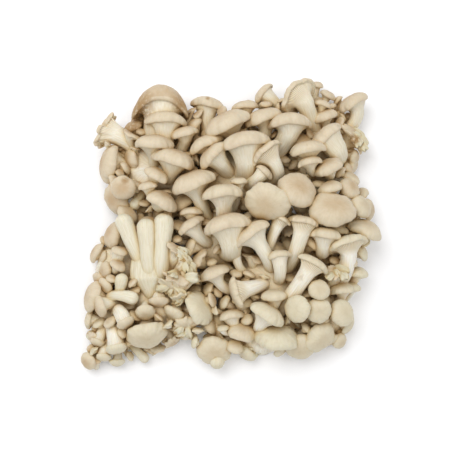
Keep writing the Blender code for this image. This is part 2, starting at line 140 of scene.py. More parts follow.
# A clump: where its base stands and the base's radius, in millimetres, and its mushrooms.
Clump = namedtuple("Clump", "base_x base_y base_radius mushrooms")
CLUMPS = {
    "clump_middle": Clump(-8, -4, 24, [
        Mushroom(-26, 31, 35, 32, 110, 67, 10, 20),
        Mushroom(-5, 22, 39, 29, 94, 78, 11, 16),
        Mushroom(-2, 0, 42, 32, 102, 76, 14, 26),
        Mushroom(-27, 11, 25, 17, 95, 80, 7, 12),
        Mushroom(-28, 1, 28, 20, 126, 80, 9, 18),
        Mushroom(6, 30, 35, 12, 90, 74, 6, 10, "button"),
    ]),
    "clump_lower_middle": Clump(29, -36, 25, [
        Mushroom(35, 4, 35, 16, 64, 84, 8, 26, "open"),
        Mushroom(14, -6, 38, 28, 126, 88, 10, 26),
        Mushroom(51, 2, 36, 22, 76, 86, 10, 32, "open"),
        Mushroom(33, -21, 36, 16, 98, 82, 8, 20),
        Mushroom(3, -47, 30, 21, 198, 86, 10, 24, "open"),
        Mushroom(4, -19, 28, 8, 95, 80, 6, 14, "button"),
        Mushroom(-11, -32, 28, 21, 112, 74, 8, 16),
    ]),
    "clump_upper_middle": Clump(6, 40, 27, [
        Mushroom(25, 13, 43, 32, 250, 32, 12, 8),
        Mushroom(11, 59, 37, 34, 97, 78, 17, 22),
        Mushroom(-13, 50, 35, 24, 136, 70, 12, 14),
        Mushroom(24, 51, 36, 26, 130, 92, 10, 26, "open"),
        Mushroom(24, 37, 37, 14, 48, 80, 9, 14),
        Mushroom(-3, 75, 30, 35, 116, 69, 11, 10),
        Mushroom(24, 80, 27, 29, 106, 72, 10, 10),
        Mushroom(42, 75, 31, 31, 92, 78, 14, 12),
        Mushroom(-18, 60, 29, 25, 118, 70, 9, 10),
        Mushroom(-16, 93, 17, 25, 80, 80, 13, 18),
        Mushroom(5, 84, 12, 18, 90, 70, 8, 10),
    ]),
    "clump_right": Clump(70, 0, 23, [
        Mushroom(70, 10, 40, 32, 84, 20, 12, 8),
        Mushroom(46, 23, 41, 27, 55, 22, 10, 8, "button"),
        Mushroom(69, 26, 36, 17, 108, 58, 7, 8),
        Mushroom(84, 27, 28, 17, 40, 36, 7, 8, "button"),
        Mushroom(87, 36, 21, 14, 60, 50, 6, 8),
        Mushroom(92, 14, 27, 18, 25, 44, 8, 8, "button"),
        Mushroom(100, 14, 16, 16, 0, 62, 7, 8),
        Mushroom(95, -1, 25, 24, 68, 52, 9, 8),
        Mushroom(65, -6, 33, 23, 84, 80, 10, 18),
        Mushroom(83, -23, 24, 14, 60, 56, 6, 8),
        Mushroom(93, -16, 17, 16, 30, 60, 7, 8),
    ]),
    "clump_upper_right": Clump(66, 54, 24, [
        Mushroom(54, 54, 37, 25, 100, 70, 9, 10),
        Mushroom(55, 44, 37, 18, 103, 74, 7, 8),
        Mushroom(68, 41, 35, 21, 118, 56, 8, 8),
        Mushroom(67, 65, 29, 27, 132, 84, 15, 22),
        Mushroom(48, 96, 24, 31, 138, 122, 13, 12, "open"),
        Mushroom(24, 102, 16, 17, 140, 84, 9, 24),
        Mushroom(65, 110, 10, 10, 80, 60, 5, 8, "button"),
        Mushroom(73, 102, 12, 13, 60, 60, 6, 12),
        Mushroom(68, 83, 20, 20, 110, 62, 7, 8),
        Mushroom(90, 95, 17, 24, 120, 72, 10, 14),
        Mushroom(91, 68, 17, 23, 30, 52, 10, 10, "torn"),
        Mushroom(91, 53, 13, 11, 340, 60, 6, 8, "button"),
        Mushroom(86, 44, 15, 10, 20, 60, 5, 6, "button"),
    ]),
    "clump_upper_left": Clump(-54, 44, 25, [
        Mushroom(-39, 48, 33, 30, 74, 67, 12, 14),
        Mushroom(-54, 60, 30, 28, 88, 70, 8, 14),
        Mushroom(-51, 36, 33, 19, 58, 64, 8, 8),
        Mushroom(-57, 28, 33, 14, 100, 64, 7, 8),
        Mushroom(-47, 18, 32, 23, 58, 58, 9, 8),
        Mushroom(-75, 27, 29, 18, 250, 14, 8, 8, "button"),
        Mushroom(-82, 21, 16, 24, 215, 40, 8, 8),
        Mushroom(-68, 17, 18, 8, 240, 78, 7, 12, "finger"),
        Mushroom(-88, 48, 17, 29, 172, 68, 10, 18),
        Mushroom(-72, 51, 17, 18, 190, 60, 8, 8),
        Mushroom(-91, 72, 17, 26, 160, 100, 13, 22, "torn"),
        Mushroom(-71, 76, 17, 15, 120, 50, 8, 8),
        Mushroom(-33, 68, 28, 20, 104, 68, 9, 8),
        Mushroom(-46, 78, 27, 29, 86, 80, 15, 12),
        Mushroom(-50, 93, 22, 42, 90, 86, 25, 12, "hood"),
    ]),
    "clump_lower_right": Clump(65, -58, 20, [
        Mushroom(80, -12, 28, 29, 106, 98, 11, 14, "open"),
        Mushroom(60, -45, 35, 15, 90, 14, 7, 6, "button"),
        Mushroom(45, -58, 34, 19, 192, 32, 8, 6, "button"),
        Mushroom(60, -59, 31, 18, 280, 14, 8, 6, "button"),
        Mushroom(77, -60, 25, 19, 0, 26, 8, 6, "button"),
        Mushroom(62, -77, 20, 25, 310, 40, 9, 8),
        Mushroom(49, -83, 16, 22, 275, 42, 9, 8, "button"),
        Mushroom(77, -43, 23, 17, 100, 66, 7, 8),
        Mushroom(86, -41, 16, 12, 80, 60, 6, 8),
        Mushroom(77, -79, 10, 12, 320, 44, 6, 6, "button"),
        Mushroom(73, -32, 29, 18, 80, 40, 8, 8, "torn"),
        Mushroom(90, -31, 18, 14, 80, 50, 6, 8),
    ]),
    "clump_lower": Clump(22, -70, 20, [
        Mushroom(57, -26, 35, 22, 58, 84, 11, 30, "open"),
        Mushroom(32, -75, 23, 31, 86, 50, 8, 4),
        Mushroom(8, -72, 21, 21, 72, 50, 7, 4),
        Mushroom(26, -60, 31, 26, 58, 72, 8, 14),
        Mushroom(30, -48, 29, 18, 92, 68, 8, 8),
        Mushroom(14, -85, 10, 15, 285, 80, 8, 6, "torn"),
        Mushroom(3, -84, 8, 9, 280, 80, 6, 8, "button"),
        Mushroom(-11, -86, 15, 25, 276, 28, 9, 8),
        Mushroom(-9, -93, 13, 11, 268, 70, 8, 6, "finger"),
        Mushroom(-4, -52, 20, 11, 150, 60, 6, 8),
        Mushroom(1, -61, 22, 18, 98, 80, 8, 8),
        Mushroom(-9, -73, 13, 13, 200, 60, 7, 8, "torn"),
    ]),
    "clump_fingers": Clump(-48, -46, 24, [
        Mushroom(-74, 3, 27, 12, 112, 82, 12, 40, "finger"),
        Mushroom(-58, -1, 29, 13, 92, 84, 12, 42, "finger"),
        Mushroom(-46, 2, 29, 14, 86, 84, 14, 42, "finger"),
        Mushroom(-55, -27, 19, 31, 90, 88, 13, 13, "palm"),
        Mushroom(-35, -18, 28, 19, 44, 60, 9, 10, "torn"),
        Mushroom(-30, -27, 27, 20, 20, 56, 8, 8, "torn"),
        Mushroom(-34, -36, 28, 23, 80, 70, 12, 12, "torn"),
        Mushroom(-41, -43, 27, 18, 250, 50, 8, 8, "torn"),
        Mushroom(-34, -50, 26, 15, 290, 70, 7, 8, "torn"),
        Mushroom(-20, -56, 24, 26, 20, 46, 9, 10, "open"),
        Mushroom(-31, -69, 20, 19, 280, 50, 9, 8, "torn"),
        Mushroom(-49, -53, 24, 14, 270, 68, 8, 8),
        Mushroom(-39, -61, 22, 16, 240, 60, 8, 8),
        Mushroom(-57, -76, 22, 28, 285, 52, 10, 10),
        Mushroom(-58, -60, 24, 14, 280, 50, 7, 8, "button"),
        Mushroom(-40, -80, 9, 13, 300, 70, 7, 8, "torn"),
    ]),
    "clump_lower_left": Clump(-83, -66, 16, [
        Mushroom(-78, -84, 19, 15, 283, 80, 11, 22, "button"),
        Mushroom(-71, -67, 26, 13, 300, 78, 9, 16, "button"),
        Mushroom(-96, -48, 17, 22, 166, 70, 9, 12, "button"),
        Mushroom(-90, -55, 22, 16, 200, 70, 8, 12, "button"),
        Mushroom(-67, -50, 25, 9, 345, 84, 8, 20, "finger"),
        Mushroom(-92, -80, 14, 11, 252, 72, 8, 14, "button"),
        Mushroom(-99, -93, 10, 13, 220, 44, 7, 8, "button"),
        Mushroom(-88, -90, 12, 11, 268, 76, 8, 14, "button"),
        Mushroom(-60, -91, 6, 7, 315, 84, 6, 16, "finger"),
        Mushroom(-79, -94, 8, 11, 270, 70, 6, 8),
        Mushroom(-98, -75, 8, 7, 180, 84, 6, 8, "finger"),
    ]),
    "clump_left": Clump(-80, -24, 17, [
        Mushroom(-87, -41, 20, 12, 220, 60, 6, 6, "button"),
        Mushroom(-75, -37, 24, 9, 80, 76, 8, 12, "finger"),
        Mushroom(-78, -27, 23, 12, 60, 60, 6, 6, "button"),
        Mushroom(-88, -30, 16, 13, 190, 50, 6, 5, "button"),
        Mushroom(-77, -17, 23, 12, 70, 70, 7, 10, "button"),
        Mushroom(-84, -4, 15, 20, 165, 50, 8, 8),
        Mushroom(-91, -20, 11, 11, 170, 60, 5, 5, "button"),
    ]),
}

# Young mushrooms that fill the room among the listed ones, in millimetres: how far apart places are tried,
# the heights of their caps and how much these vary, how far apart the caps keep as a share of their widths,
# the least distance from their middles to a listed mushroom, how far a neighbour may be for a side to count
# as closed, and how many sides may be open. The sky must be seen from the place in one of these directions.
FILL_STEP = 4
FILL_LEVELS = (22, 15, 8)
FILL_LEVEL_SWING = 2.5
FILL_SPREAD = 0.30
FILL_CLEARANCE = 2.5
FILL_REACH = 50
FILL_SIDES = 8
FILL_OPEN_SIDES = 2
FILL_SKY = ((0, 0, 1), (0.25, 0, 1), (-0.25, 0, 1), (0, 0.25, 1), (0, -0.25, 1))

# The form of a filling mushroom: its cap's least and greatest width and its share of the room at its place,
# the least and most share of that, its stem's width and reach as shares of the cap, the way that it heads
# and how much this varies, its least and greatest lean, and its kinds. Two stand beside the hood.
FILL_CAPS = (8, 18)
FILL_CAP_SHARE = 1.8
FILL_SIZES = (0.85, 1.1)
FILL_STEM = 0.42
FILL_STEM_REACH = 0.5
FILL_HEADING = 90
FILL_TURN = 45
FILL_TILTS = (30, 80)
FILL_KINDS = ("pillow", "pillow", "button", "open", "torn")
FILL_BESIDE_HOOD = (
    Mushroom(-67, 84, 10, 13, 100, 50, 6, 5),
    Mushroom(-74, 79, 7, 10, 150, 60, 5, 4, "torn"),
)

# Young buttons where the floor would show between the mushrooms: how far apart places are tried, the least
# distance to a listed mushroom and how far they keep from a filling one as a share of its width, the
# heights of their roots and their own length, in millimetres, how far up it a place is tested, their sizes,
# how they lean and turn, how many sides they have, and their kinds.
BUTTON_STEP = 3.2
BUTTON_CLEARANCE = 1.1
BUTTON_SPREAD = 0.32
BUTTON_ROOTS = (0.5, 3)
BUTTON_LENGTH = 16
BUTTON_TIP = 0.8
BUTTON_SIZES = (0.45, 0.85)
BUTTON_LEANS = ((-0.6, 0.6), (-0.4, 0.8))
SPROUT_TURN = 0.6
BUTTON_SIDES = 12
BUTTON_KINDS = (
    Mushroom(0, 0, 13, 10, 0, 0, 6, 5, "button"),
    Mushroom(0, 0, 13, 12, 40, 8, 6, 5, "pillow"),
    Mushroom(0, 0, 13, 8, 90, 6, 5, 6, "button"),
)

# Shreds of torn flesh on the torn caps that face up: how many for each millimetre of a cap's width, from
# what width and up to what tilt of the cap, how long against its radius, the largest scale and how scales
# vary, how far out on the cap and how deep in it they start, how they swing from hanging down and how far
# they lift, and the least height and the depth of their roots in millimetres.
SHREDS_PER_WIDTH = 0.28
SHRED_LEAST_CAP = 15
SHRED_MOST_TILT = 90
SHRED_REACH = 1.3
SHRED_MOST = 0.9
SHRED_SIZES = (0.7, 1.2)
SHRED_SPREAD = 0.6
SHRED_SINK = 0.08
SHRED_SWING = 1.1
SHRED_LIFTS = (-0.1, 0.3)
SHRED_LOWEST = 3
SHRED_DEPTH = 2

# A shred's length, width and thickness in millimetres, how far it bows and how ragged its tip is against
# its length, how much of the bow goes sideways, the powers that bring its widest place nearer to its tip
# and round it off, how high its folds are against its thickness, how far it is cupped against its width,
# its rings and sides, how many kinds there are and how beige they are.
SHRED_LENGTH = 14
SHRED_WIDTH = 8
SHRED_THICKNESS = 1.1
SHRED_BOW = 0.14
SHRED_TIP = 0.16
SHRED_BOW_ASIDE = 0.4
SHRED_WIDEST = 0.75
SHRED_ROUND = 0.55
SHRED_FOLDS = 1.2
SHRED_CUP = 0.35
SHRED_RINGS = 10
SHRED_SIDES = 18
SHRED_KINDS = 4
SHRED_BEIGE = 0.45

# How finely a mushroom's skin is divided: rings on the dome, round the lip, inside the lip, across the
# gills and down the stem. Round it, every gill takes two points, or four on a wide cap of these shapes.
DOME_RINGS = 9
LIP_RINGS = 4
ROLL_RINGS = 2
GILL_RINGS = 7
STEM_RINGS = 11
FEWEST_GILLS = 18
WIDE_CAP = 20
WIDE_SHAPES = ("open", "torn")

# Shapes without an edge, and where their stems begin along the path. Others have a cone under the cap: its
# length in cap radii, the least and most share of the path, how much of the edge's width and how far along
# the cone its waist lies, and how soon the gills on it fade.
SMOOTH_CONES = {"finger": 0.1, "palm": 0.4}
CONE = 0.48
CONE_SHARES = (0.1, 0.36)
CONE_EDGE = 0.22
CONE_WAIST = 0.35
GILLS_FADE = 1.6

# The dimple in the middle of a cap, as shares of its radius.
DIMPLE_DEPTH = 0.05
DIMPLE_WIDTH = 0.35

# How far the colours of caps spread: how beige smooth shapes are along and at their tips, how much of its
# margin's colour the hood takes, and how clearly each shape's gills show.
BEIGE = 0.3
TIP_BEIGE = 0.45
HOOD_CENTRE = 0.4
GILLS_SHOW = {"open": 1.0, "torn": 0.7, "hood": 0.15}
GILLS_SHOW_ELSE = 0.35

# A mushroom's paleness: its least value, what the draw adds, what each axis adds over this many
# millimetres, and the paleness of smooth shapes.
PALE_LEAST = 0.28
PALE_DRAW = 0.36
PALE_WAY = (0.5, -1.5)
PALE_LENGTH = 400
SMOOTH_PALE = 0.45

# Coordinates that patterns flow in: the length along the skin that counts as one, how far each mushroom's
# pattern may be shifted, and how far past the edge its parts start, in cap radii.
FLOW_LENGTH = 10 * MM
FLOW_SHIFT = 10
ROLL_FLOW = 0.4
ROLL_FLOW_LENGTH = 0.1
GILL_FLOW = 0.5
STEM_FLOW = 1.5

# The turn that spreads directions evenly.
GOLDEN_TURN = math.pi * (3 - math.sqrt(5))

# Hollows, which get painted shade: how far a neighbour may be, how far from the skin the search starts, how
# many ways it looks, how much the furthest neighbour counts, and how often the result is blurred.
HOLLOW_REACH = 20 * MM
HOLLOW_CLEARANCE = 0.4 * MM
HOLLOW_WAYS = 14
HOLLOW_FAR = 0.25
HOLLOW_BLURS = 3

# The relief: how fine and how high ripples are against lumps, how close wrinkles keep to the edge, and how
# much detail grooves have.
RIPPLE_SCALE = 4.0
RIPPLE_HEIGHT = 0.3
WRINKLE_POWER = 4.0
GROOVE_DETAIL = 3.0

# How often patterns repeat over the skin, in its two coordinates round it and its one along it: in the
# relief of stems and caps, in their colours, and in their fine grain.
STEM_GROOVES = (7, 7, 0.9)
CAP_WRINKLES = (3, 3, 0.8)
CAP_STREAKS = (9, 9, 1.2)
STEM_FIBRES = (12, 12, 1.2)
CAP_GRAIN = (30, 30, 2.0)
STEM_GRAIN = (26, 26, 2.5)

# Tones that darken a colour: streaks on a cap, fibres of a stem, painted shade between the gills, and painted
# shade in the hollows.
STREAK_TONE = (0.86, 0.83, 0.76, 1)
FIBRE_TONE = (0.80, 0.73, 0.58, 1)
GILL_SHADE_TONE = (0.80, 0.72, 0.60, 1)
SHADE_TONE = (0.96, 0.85, 0.66, 1)

# Masks made of noise: how often it repeats in a metre, or in the coordinates of streaks and fibres, the
# noise at which the mask begins and is full, and how much detail the noise has and how strong that is.
USUAL_GRAIN = (4.0, 0.55)
Mask = namedtuple("Mask", "scale low high detail roughness", defaults=USUAL_GRAIN)
TAN_MASK = Mask(scale=70.0, low=0.3, high=0.7)
FLECK_MASK = Mask(scale=330.0, low=0.4, high=0.7)
STREAK_MASK = Mask(scale=1.0, low=0.35, high=0.75)
FIBRE_MASK = Mask(scale=1.0, low=0.35, high=0.7)
RUBBED_MASK = Mask(scale=75.0, low=0.66, high=0.78, detail=5.0, roughness=0.6)
SPECK_MASK = Mask(scale=620.0, low=0.70, high=0.80, detail=2.0, roughness=0.5)
CRUMB_MASK = Mask(scale=350.0, low=0.25, high=0.55, detail=3.0, roughness=0.6)

# How much they count: the tan one in how pale a cap is, flecks and streaks in how dark it is, and fibres and
# a mushroom's warmth in how dark its stem is.
TAN_SHARE = 0.3
FLECK_SHARE = 0.35
STREAK_SHARE = 0.35
FIBRE_SHARE = 0.55
WARM_SHARE = 0.3

# Between which values one colour gives way to another: painted shade of shallow and then deep hollows, the
# middle of a cap to its margin, usual caps and stems to pale ones, a stem to the colour of caps, the painted
# shade of the valleys between gills to their ridges, and a stem to gills. Two more values are what the range
# begins and ends with.
SHALLOW_SHADE_RANGE = (0.15, 0.6)
DEEP_SHADE_RANGE = (0.5, 0.95)
MARGIN_RANGE = (0.15, 1.15)
PALE_CAP_RANGE = (0.35, 1.0, 0.0, 0.85)
PALE_STEM_RANGE = (0.35, 0.7)
TIP_RANGE = (0.0, 0.6)
VALLEY_SHADE_RANGE = (-0.9, 0.4, 1.0, 0.0)
GILLED_RANGE = (0.0, 0.8)

# What sets the two fleshes apart: how rough they are, how far light goes into them, how strongly the painted
# shade of hollows and the bruises show on them, their grain and its strength. The rest is the same for both.
Finish = namedtuple("Finish", "roughness depth hollow bruise grain fibres")
CAP_FINISH = Finish(roughness=0.52, depth=0.10, hollow=0.9, bruise=0.3, grain=CAP_GRAIN, fibres=0.8)
STEM_FINISH = Finish(roughness=0.55, depth=0.12, hollow=0.95, bruise=0.35, grain=STEM_GRAIN, fibres=1.5)
GLOSS = 0.35
LIGHT_COLOURS = (1.0, 0.6, 0.3)
LIGHT_REACH = 2.5 * MM
GRAIN_STRENGTH = 0.4
GRAIN_HEIGHT = 0.3 * MM

# How often the fine grain repeats in a metre, and the detail and roughness of it and of the fibres.
GRAIN_SCALE = 1400.0
FINE_GRAIN = (3.0, 0.6)

# Waves round a cap or a stem: how many fit round it, how high they are, how far the seed turns them and
# how far they turn along a stem. The slow and fast ones of a cap's edge count with a share.
Wave = namedtuple("Wave", "count height turn twist", defaults=(0,))
EDGE_SLOW = (Wave(2, 1, 1), Wave(3, 0.7, 2.3))
EDGE_FAST = (Wave(5, 1, 1.7),)
EDGE_FINE = (Wave(9, 0.35, 3.1), Wave(16, 0.25, 0.7))
EDGE_SLOW_SHARE = 0.7
EDGE_FAST_SHARE = 0.6
RIM_WAVES = (Wave(2, 1, 1.3), Wave(5, 0.5, 1))
RIM_BEND = 0.045
STEM_WAVES = (Wave(2, 0.05, 1, 2), Wave(3, 0.04, 2))

# The waves of a shred: of its outline, and of its folds and its tip, which are counted across it.
SHRED_EDGE_WAVES = (Wave(0, 0.08, 2, 7), Wave(2, 0.06, 1, 6))
SHRED_FOLD_WAVES = (Wave(5.5, 1, 1, 2),)
SHRED_TIP_WAVES = (Wave(4.5, 1, 1.7),)

# A torn cap has less of the fast waves and a rim that bends more. Its notches and its folds are spaced
# unevenly, by waves of their own.
TORN_FAST = 0.3
TORN_RIM_BEND = 0.14
Notch = namedtuple("Notch", "count depth turn sharpness")
NOTCHES = (Notch(2, 1.2, 2.9, 16), Notch(3, 0.6, 1.3, 12))
NOTCH_SPACING = (Wave(1, 0.7, 1.9), Wave(2, 0.3, 1))
FOLDS = 5
FOLD_HEIGHT = 0.06
FOLD_SPACING = (Wave(1, 0.6, 1), Wave(2, 0.3, 2))

# The rolled edge: how far the widest line lies below the dome's foot as a share of the lip, and the widths
# of the lip's bottom and inside as shares of the cap's radius, with the inside's height as one of the lip.
EDGE_SINK = 0.35
LIP_WIDTH = 0.91
ROLL_WIDTH = 0.82
ROLL_HEIGHT = 0.78

# Brown marks on the skin, seen from above: where, how wide they are in millimetres and how strong.
Mark = namedtuple("Mark", "x y width strength")
MARKS = (
    Mark(-73, 31, 7, 1), Mark(-16, 94, 4, 1), Mark(-7, 94, 3, 1), Mark(90, 64, 11, 1),
    Mark(-102, -73, 7, 1), Mark(-71, 74, 16, 1), Mark(-66, 86, 30, 1), Mark(-33, 88, 20, 1),
)

# What the camera looks at, how wide a strip of the scene it sees there, and its sensor in millimetres.
VIEW_CENTRE = (-2.45 * MM, 0, 25 * MM)
VIEW_WIDTH = 317 * MM
SENSOR_WIDTH = 36

# Half the floor's width, how far it lies below the bunch, how rough it is and how much it shines, and each
# light's place and size, in metres, and its share of the key power.
FLOOR_HALF = 1.5
FLOOR_DROP = 0.2 * MM
FLOOR_ROUGHNESS = 0.9
FLOOR_GLOSS = 0.1
LIGHTS = {"key": ((-0.25, 0.25, 0.75), 0.6, 1), "fill": ((0.35, -0.15, 0.8), 0.7, 0.35)}


class FormSettings(bpy.types.PropertyGroup):
    """Sizes of the fine relief."""

    gill_spacing: bpy.props.FloatProperty(
        name="Gill Spacing", description="Distance between gills at the cap's edge",
        default=1.7 * MM, min=0.5 * MM, unit="LENGTH")
    gill_depth: bpy.props.FloatProperty(
        name="Gill Depth", description="How far a gill stands out from the flesh between gills",
        default=0.35 * MM, min=0, unit="LENGTH")
    fibre_depth: bpy.props.FloatProperty(
        name="Fibre Depth", description="Depth of the grooves along a stem",
        default=0.5 * MM, min=0, unit="LENGTH")
    lump_depth: bpy.props.FloatProperty(
        name="Lump Depth", description="How far the skin swells and sinks",
        default=1.3 * MM, min=0, unit="LENGTH")
    lump_size: bpy.props.FloatProperty(
        name="Lump Size", description="Width of a swelling of the skin",
        default=12 * MM, min=1 * MM, unit="LENGTH")
    seed: bpy.props.IntProperty(
        name="Seed", description="Another number gives other tints and young buttons", default=7)


class FleshSettings(bpy.types.PropertyGroup):
    """Colours of the flesh."""

    cap_centre: bpy.props.FloatVectorProperty(
        name="Cap Centre", description="Middle of a cap", subtype="COLOR", size=4,
        default=(0.48, 0.35, 0.21, 1))
    cap_margin: bpy.props.FloatVectorProperty(
        name="Cap Margin", description="Edge of a cap", subtype="COLOR", size=4,
        default=(0.62, 0.53, 0.39, 1))
    cap_pale: bpy.props.FloatVectorProperty(
        name="Pale Cap", description="The palest caps", subtype="COLOR", size=4,
        default=(0.66, 0.62, 0.47, 1))
    stem: bpy.props.FloatVectorProperty(
        name="Stem", description="Flesh of a stem", subtype="COLOR", size=4,
        default=(0.77, 0.73, 0.62, 1))
    stem_pale: bpy.props.FloatVectorProperty(
        name="Pale Stem", description="The palest stems", subtype="COLOR", size=4,
        default=(0.82, 0.80, 0.73, 1))
    gill: bpy.props.FloatVectorProperty(
        name="Gills", description="Flesh of the gills", subtype="COLOR", size=4,
        default=(0.72, 0.65, 0.51, 1))
    bruise: bpy.props.FloatVectorProperty(
        name="Bruise", description="Where the skin is rubbed or dried", subtype="COLOR", size=4,
        default=(0.34, 0.21, 0.09, 1))
    # Painted shade: the dark brown that the deepest hollows between the mushrooms take.
    hollow: bpy.props.FloatVectorProperty(
        name="Hollow", description="Shaded flesh deep between the mushrooms", subtype="COLOR", size=4,
        default=(0.44, 0.27, 0.10, 1))


class StageSettings(bpy.types.PropertyGroup):
    """Floor, light and camera."""

    floor_colour: bpy.props.FloatVectorProperty(
        name="Floor", description="Colour of the floor", subtype="COLOR", size=4,
        default=(0.92, 0.92, 0.93, 1))
    key_power: bpy.props.FloatProperty(
        name="Key Power", description="Power of the soft light above", default=3.3, min=0, unit="POWER")
    sky_strength: bpy.props.FloatProperty(
        name="Sky Strength", description="Strength of the light from all round", default=0.76, min=0)
    distance: bpy.props.FloatProperty(
        name="Camera Distance", description="From the camera to the middle of the bunch",
        default=0.5, min=0.1, unit="LENGTH")
    elevation: bpy.props.FloatProperty(
        name="Camera Elevation", description="How far the camera stands above the level",
        default=math.radians(80), subtype="ANGLE")


def facing(heading, tilt):
    """The cap's own axes: across it, through it from front to back, and out of its top."""
    turn, lean = math.radians(heading), math.radians(tilt)
    across = np.array((-math.sin(turn), math.cos(turn), 0.0))
    out = np.array((math.sin(lean) * math.cos(turn), math.sin(lean) * math.sin(turn), math.cos(lean)))
    return across, np.cross(out, across), out


def waves(angles, seed, table, start=0, share=0):
    """Waves round a circle, added to a start; share says how far along a stem or shred they are taken."""
    return sum((w.height * np.sin(w.count * angles + w.turn * seed + w.twist * share) for w in table), start)


def edge_share(angles, shape, seed):
    """The cap's outline at these angles, as shares of its radius: uneven, and notched where it is torn."""
    slow, fast, fine = (waves(angles, seed, table) for table in (EDGE_SLOW, EDGE_FAST, EDGE_FINE))
    notches = 0.0
    if shape == SHAPES["torn"]:
        fast = TORN_FAST * fast
        bent = waves(angles, seed, NOTCH_SPACING, angles)
        for notch in NOTCHES:
            dip = np.clip(np.sin(notch.count * bent + notch.turn * seed), 0, 1)
            notches = notches + notch.depth * dip**notch.sharpness
    return 1 + shape.ragged * (EDGE_SLOW_SHARE * slow + EDGE_FAST_SHARE * fast + fine - notches)


def stem_path(start, out, mushroom, clump):
    """The four control points of a stem: straight out of the cap, then down and in to the clump's base."""
    straight = start - out * (STEM_STRAIGHT * mushroom.reach * MM)
    foot = np.array((clump.base_x * MM, clump.base_y * MM, 0.0))
    away = straight - foot
    away[2] = 0
    distance = max(np.linalg.norm(away), 0.001 * MM)
    spread = min(STEM_ROOT_SPREAD * clump.base_radius * MM, STEM_ROOT_NEARER * distance)
    root = foot + away * (spread / distance)
    root[2] = STEM_ROOT_HEIGHT * clump.base_radius * MM
    bend = straight + (root - straight) * STEM_BEND
    lowest = 0.5 * mushroom.stem * MM
    straight[2] = max(straight[2], lowest)
    bend[2] = max(STEM_BEND_HEIGHT * straight[2], lowest)
    return start, straight, bend, root


def bezier(points, share):
    """The point of a cubic Bezier curve at a share of its length."""
    a, b, c, d = points
    rest = 1 - share
    return a * rest**3 + b * 3 * rest**2 * share + c * 3 * rest * share**2 + d * share**3


def stem_share(share, flare):
    """A stem's thickness along its path: flared under the cap, slim, and a little thicker at its root."""
    return STEM_SLIM + flare * math.exp(-share / STEM_FLARE_FADE) + STEM_ROOT_SWELL * share**2


class Skin:
    """A closed skin of rings between two end points, with what the materials need to know of each point."""

    GIVEN = ("cap", "centre", "under", "stalk", "shows")
    NUMBERS = (*GIVEN, "around", "gills")
    VECTORS = ("flow", "tint")

    def __init__(self, sides):
        self.sides = sides
        self.angles = math.tau * np.arange(sides) / sides
        self.rings = []
        self.facts = []

    def ring(self, points, along, **facts):
        """Adds a ring of points, and says how far along the skin it lies and what it is part of."""
        self.rings.append(points)
        self.facts.append({**facts, "along": along})

    def close(self, top, bottom, gills, tint):
        """The skin's points, faces and attributes as arrays."""
        sides, count = self.sides, len(self.rings)
        points = np.concatenate([top[None], *self.rings, bottom[None]])
        rows = np.concatenate([[0], np.repeat(np.arange(count), sides), [count - 1]])
        angles = np.concatenate([[0], np.tile(self.angles, count), [0]])
        values = {name: np.array([f.get(name, 0.0) for f in self.facts])[rows] for name in self.GIVEN}
        values["around"] = angles / math.tau
        values["gills"] = np.full(len(points), float(gills))
        along = np.array([f["along"] for f in self.facts])[rows] / FLOW_LENGTH
        values["flow"] = np.stack([np.cos(angles), np.sin(angles), along + FLOW_SHIFT * tint[2]], 1)
        values["tint"] = np.tile(np.array(tint), (len(points), 1))
        here = np.arange(sides)
        there = (here + 1) % sides
        lines = 1 + sides * np.arange(count - 1)[:, None]
        quads = np.stack([lines + here, lines + sides + here, lines + sides + there, lines + there], 2)
        last = 1 + sides * (count - 1)
        top_fan = np.stack([np.zeros(sides, int), 1 + here, 1 + there], 1)
        bottom_fan = np.stack([np.full(sides, len(points) - 1), last + there, last + here], 1)
        return points, quads.reshape(-1, 4), np.concatenate([top_fan, bottom_fan]), values


def gill_count(mushroom, spacing):
    """How many gills fit round a cap at this spacing."""
    return max(FEWEST_GILLS, round(math.pi * mushroom.cap * MM / spacing))


def cap_former(mushroom, angles, seed):
    """A function that gives a ring of a cap from its width and height, both as shares of the cap's radius."""
    shape, torn = SHAPES[mushroom.shape], mushroom.shape == "torn"
    radius = 0.5 * mushroom.cap * MM
    middle = np.array((mushroom.x, mushroom.y, mushroom.z)) * MM
    across, through, out = facing(mushroom.heading, mushroom.tilt)
    cosines, sines = np.cos(angles)[:, None], np.sin(angles)[:, None]
    outline = edge_share(angles, shape, seed) - 1
    wave = (TORN_RIM_BEND if torn else RIM_BEND) * waves(angles, seed, RIM_WAVES)
    wave = wave * (mushroom.shape not in SMOOTH_CONES)
    bent = waves(angles, seed, FOLD_SPACING, angles)
    folds = FOLD_HEIGHT * torn * (1 - 2 * np.abs(np.sin(0.5 * FOLDS * bent)))

    def ring(width, height):
        reach = radius * width * (1 + outline * width**2)
        sideways = cosines * across + shape.depth * sines * through
        raised = wave * width**4 + folds * width**2
        rise = radius * (height + raised - shape.droop * (width * cosines[:, 0]) ** 2)
        return middle + sideways * reach[:, None] + rise[:, None] * out

    return ring


def stem_rings(mushroom, angles, seed, path, side, first, count):
    """Rings round a stem's path from its first share on, each with its share; side points across the path."""
    cosines, sines = np.cos(angles)[:, None], np.sin(angles)[:, None]
    flare = SMOOTH_FLARE if mushroom.shape in SMOOTH_CONES else STEM_FLARE
    rings = []
    for i in range(count + 1):
        share = first + (1 - first) * i / count
        ahead = bezier(path, min(share + STEM_STEP, 1.0)) - bezier(path, min(share, 1 - STEM_STEP))
        along = -ahead / np.linalg.norm(ahead)
        side = side - along * along.dot(side)
        side = side / np.linalg.norm(side)
        other = np.cross(along, side)
        uneven = waves(angles, seed, STEM_WAVES, 1, share)
        uneven = uneven * (1 + STEM_BULGE * math.sin(STEM_BULGE_PACE * share + seed))
        thick = 0.5 * mushroom.stem * MM * stem_share(share, flare) * uneven[:, None]
        rings.append((share, bezier(path, share) + (cosines * side + sines * other) * thick))
    return rings


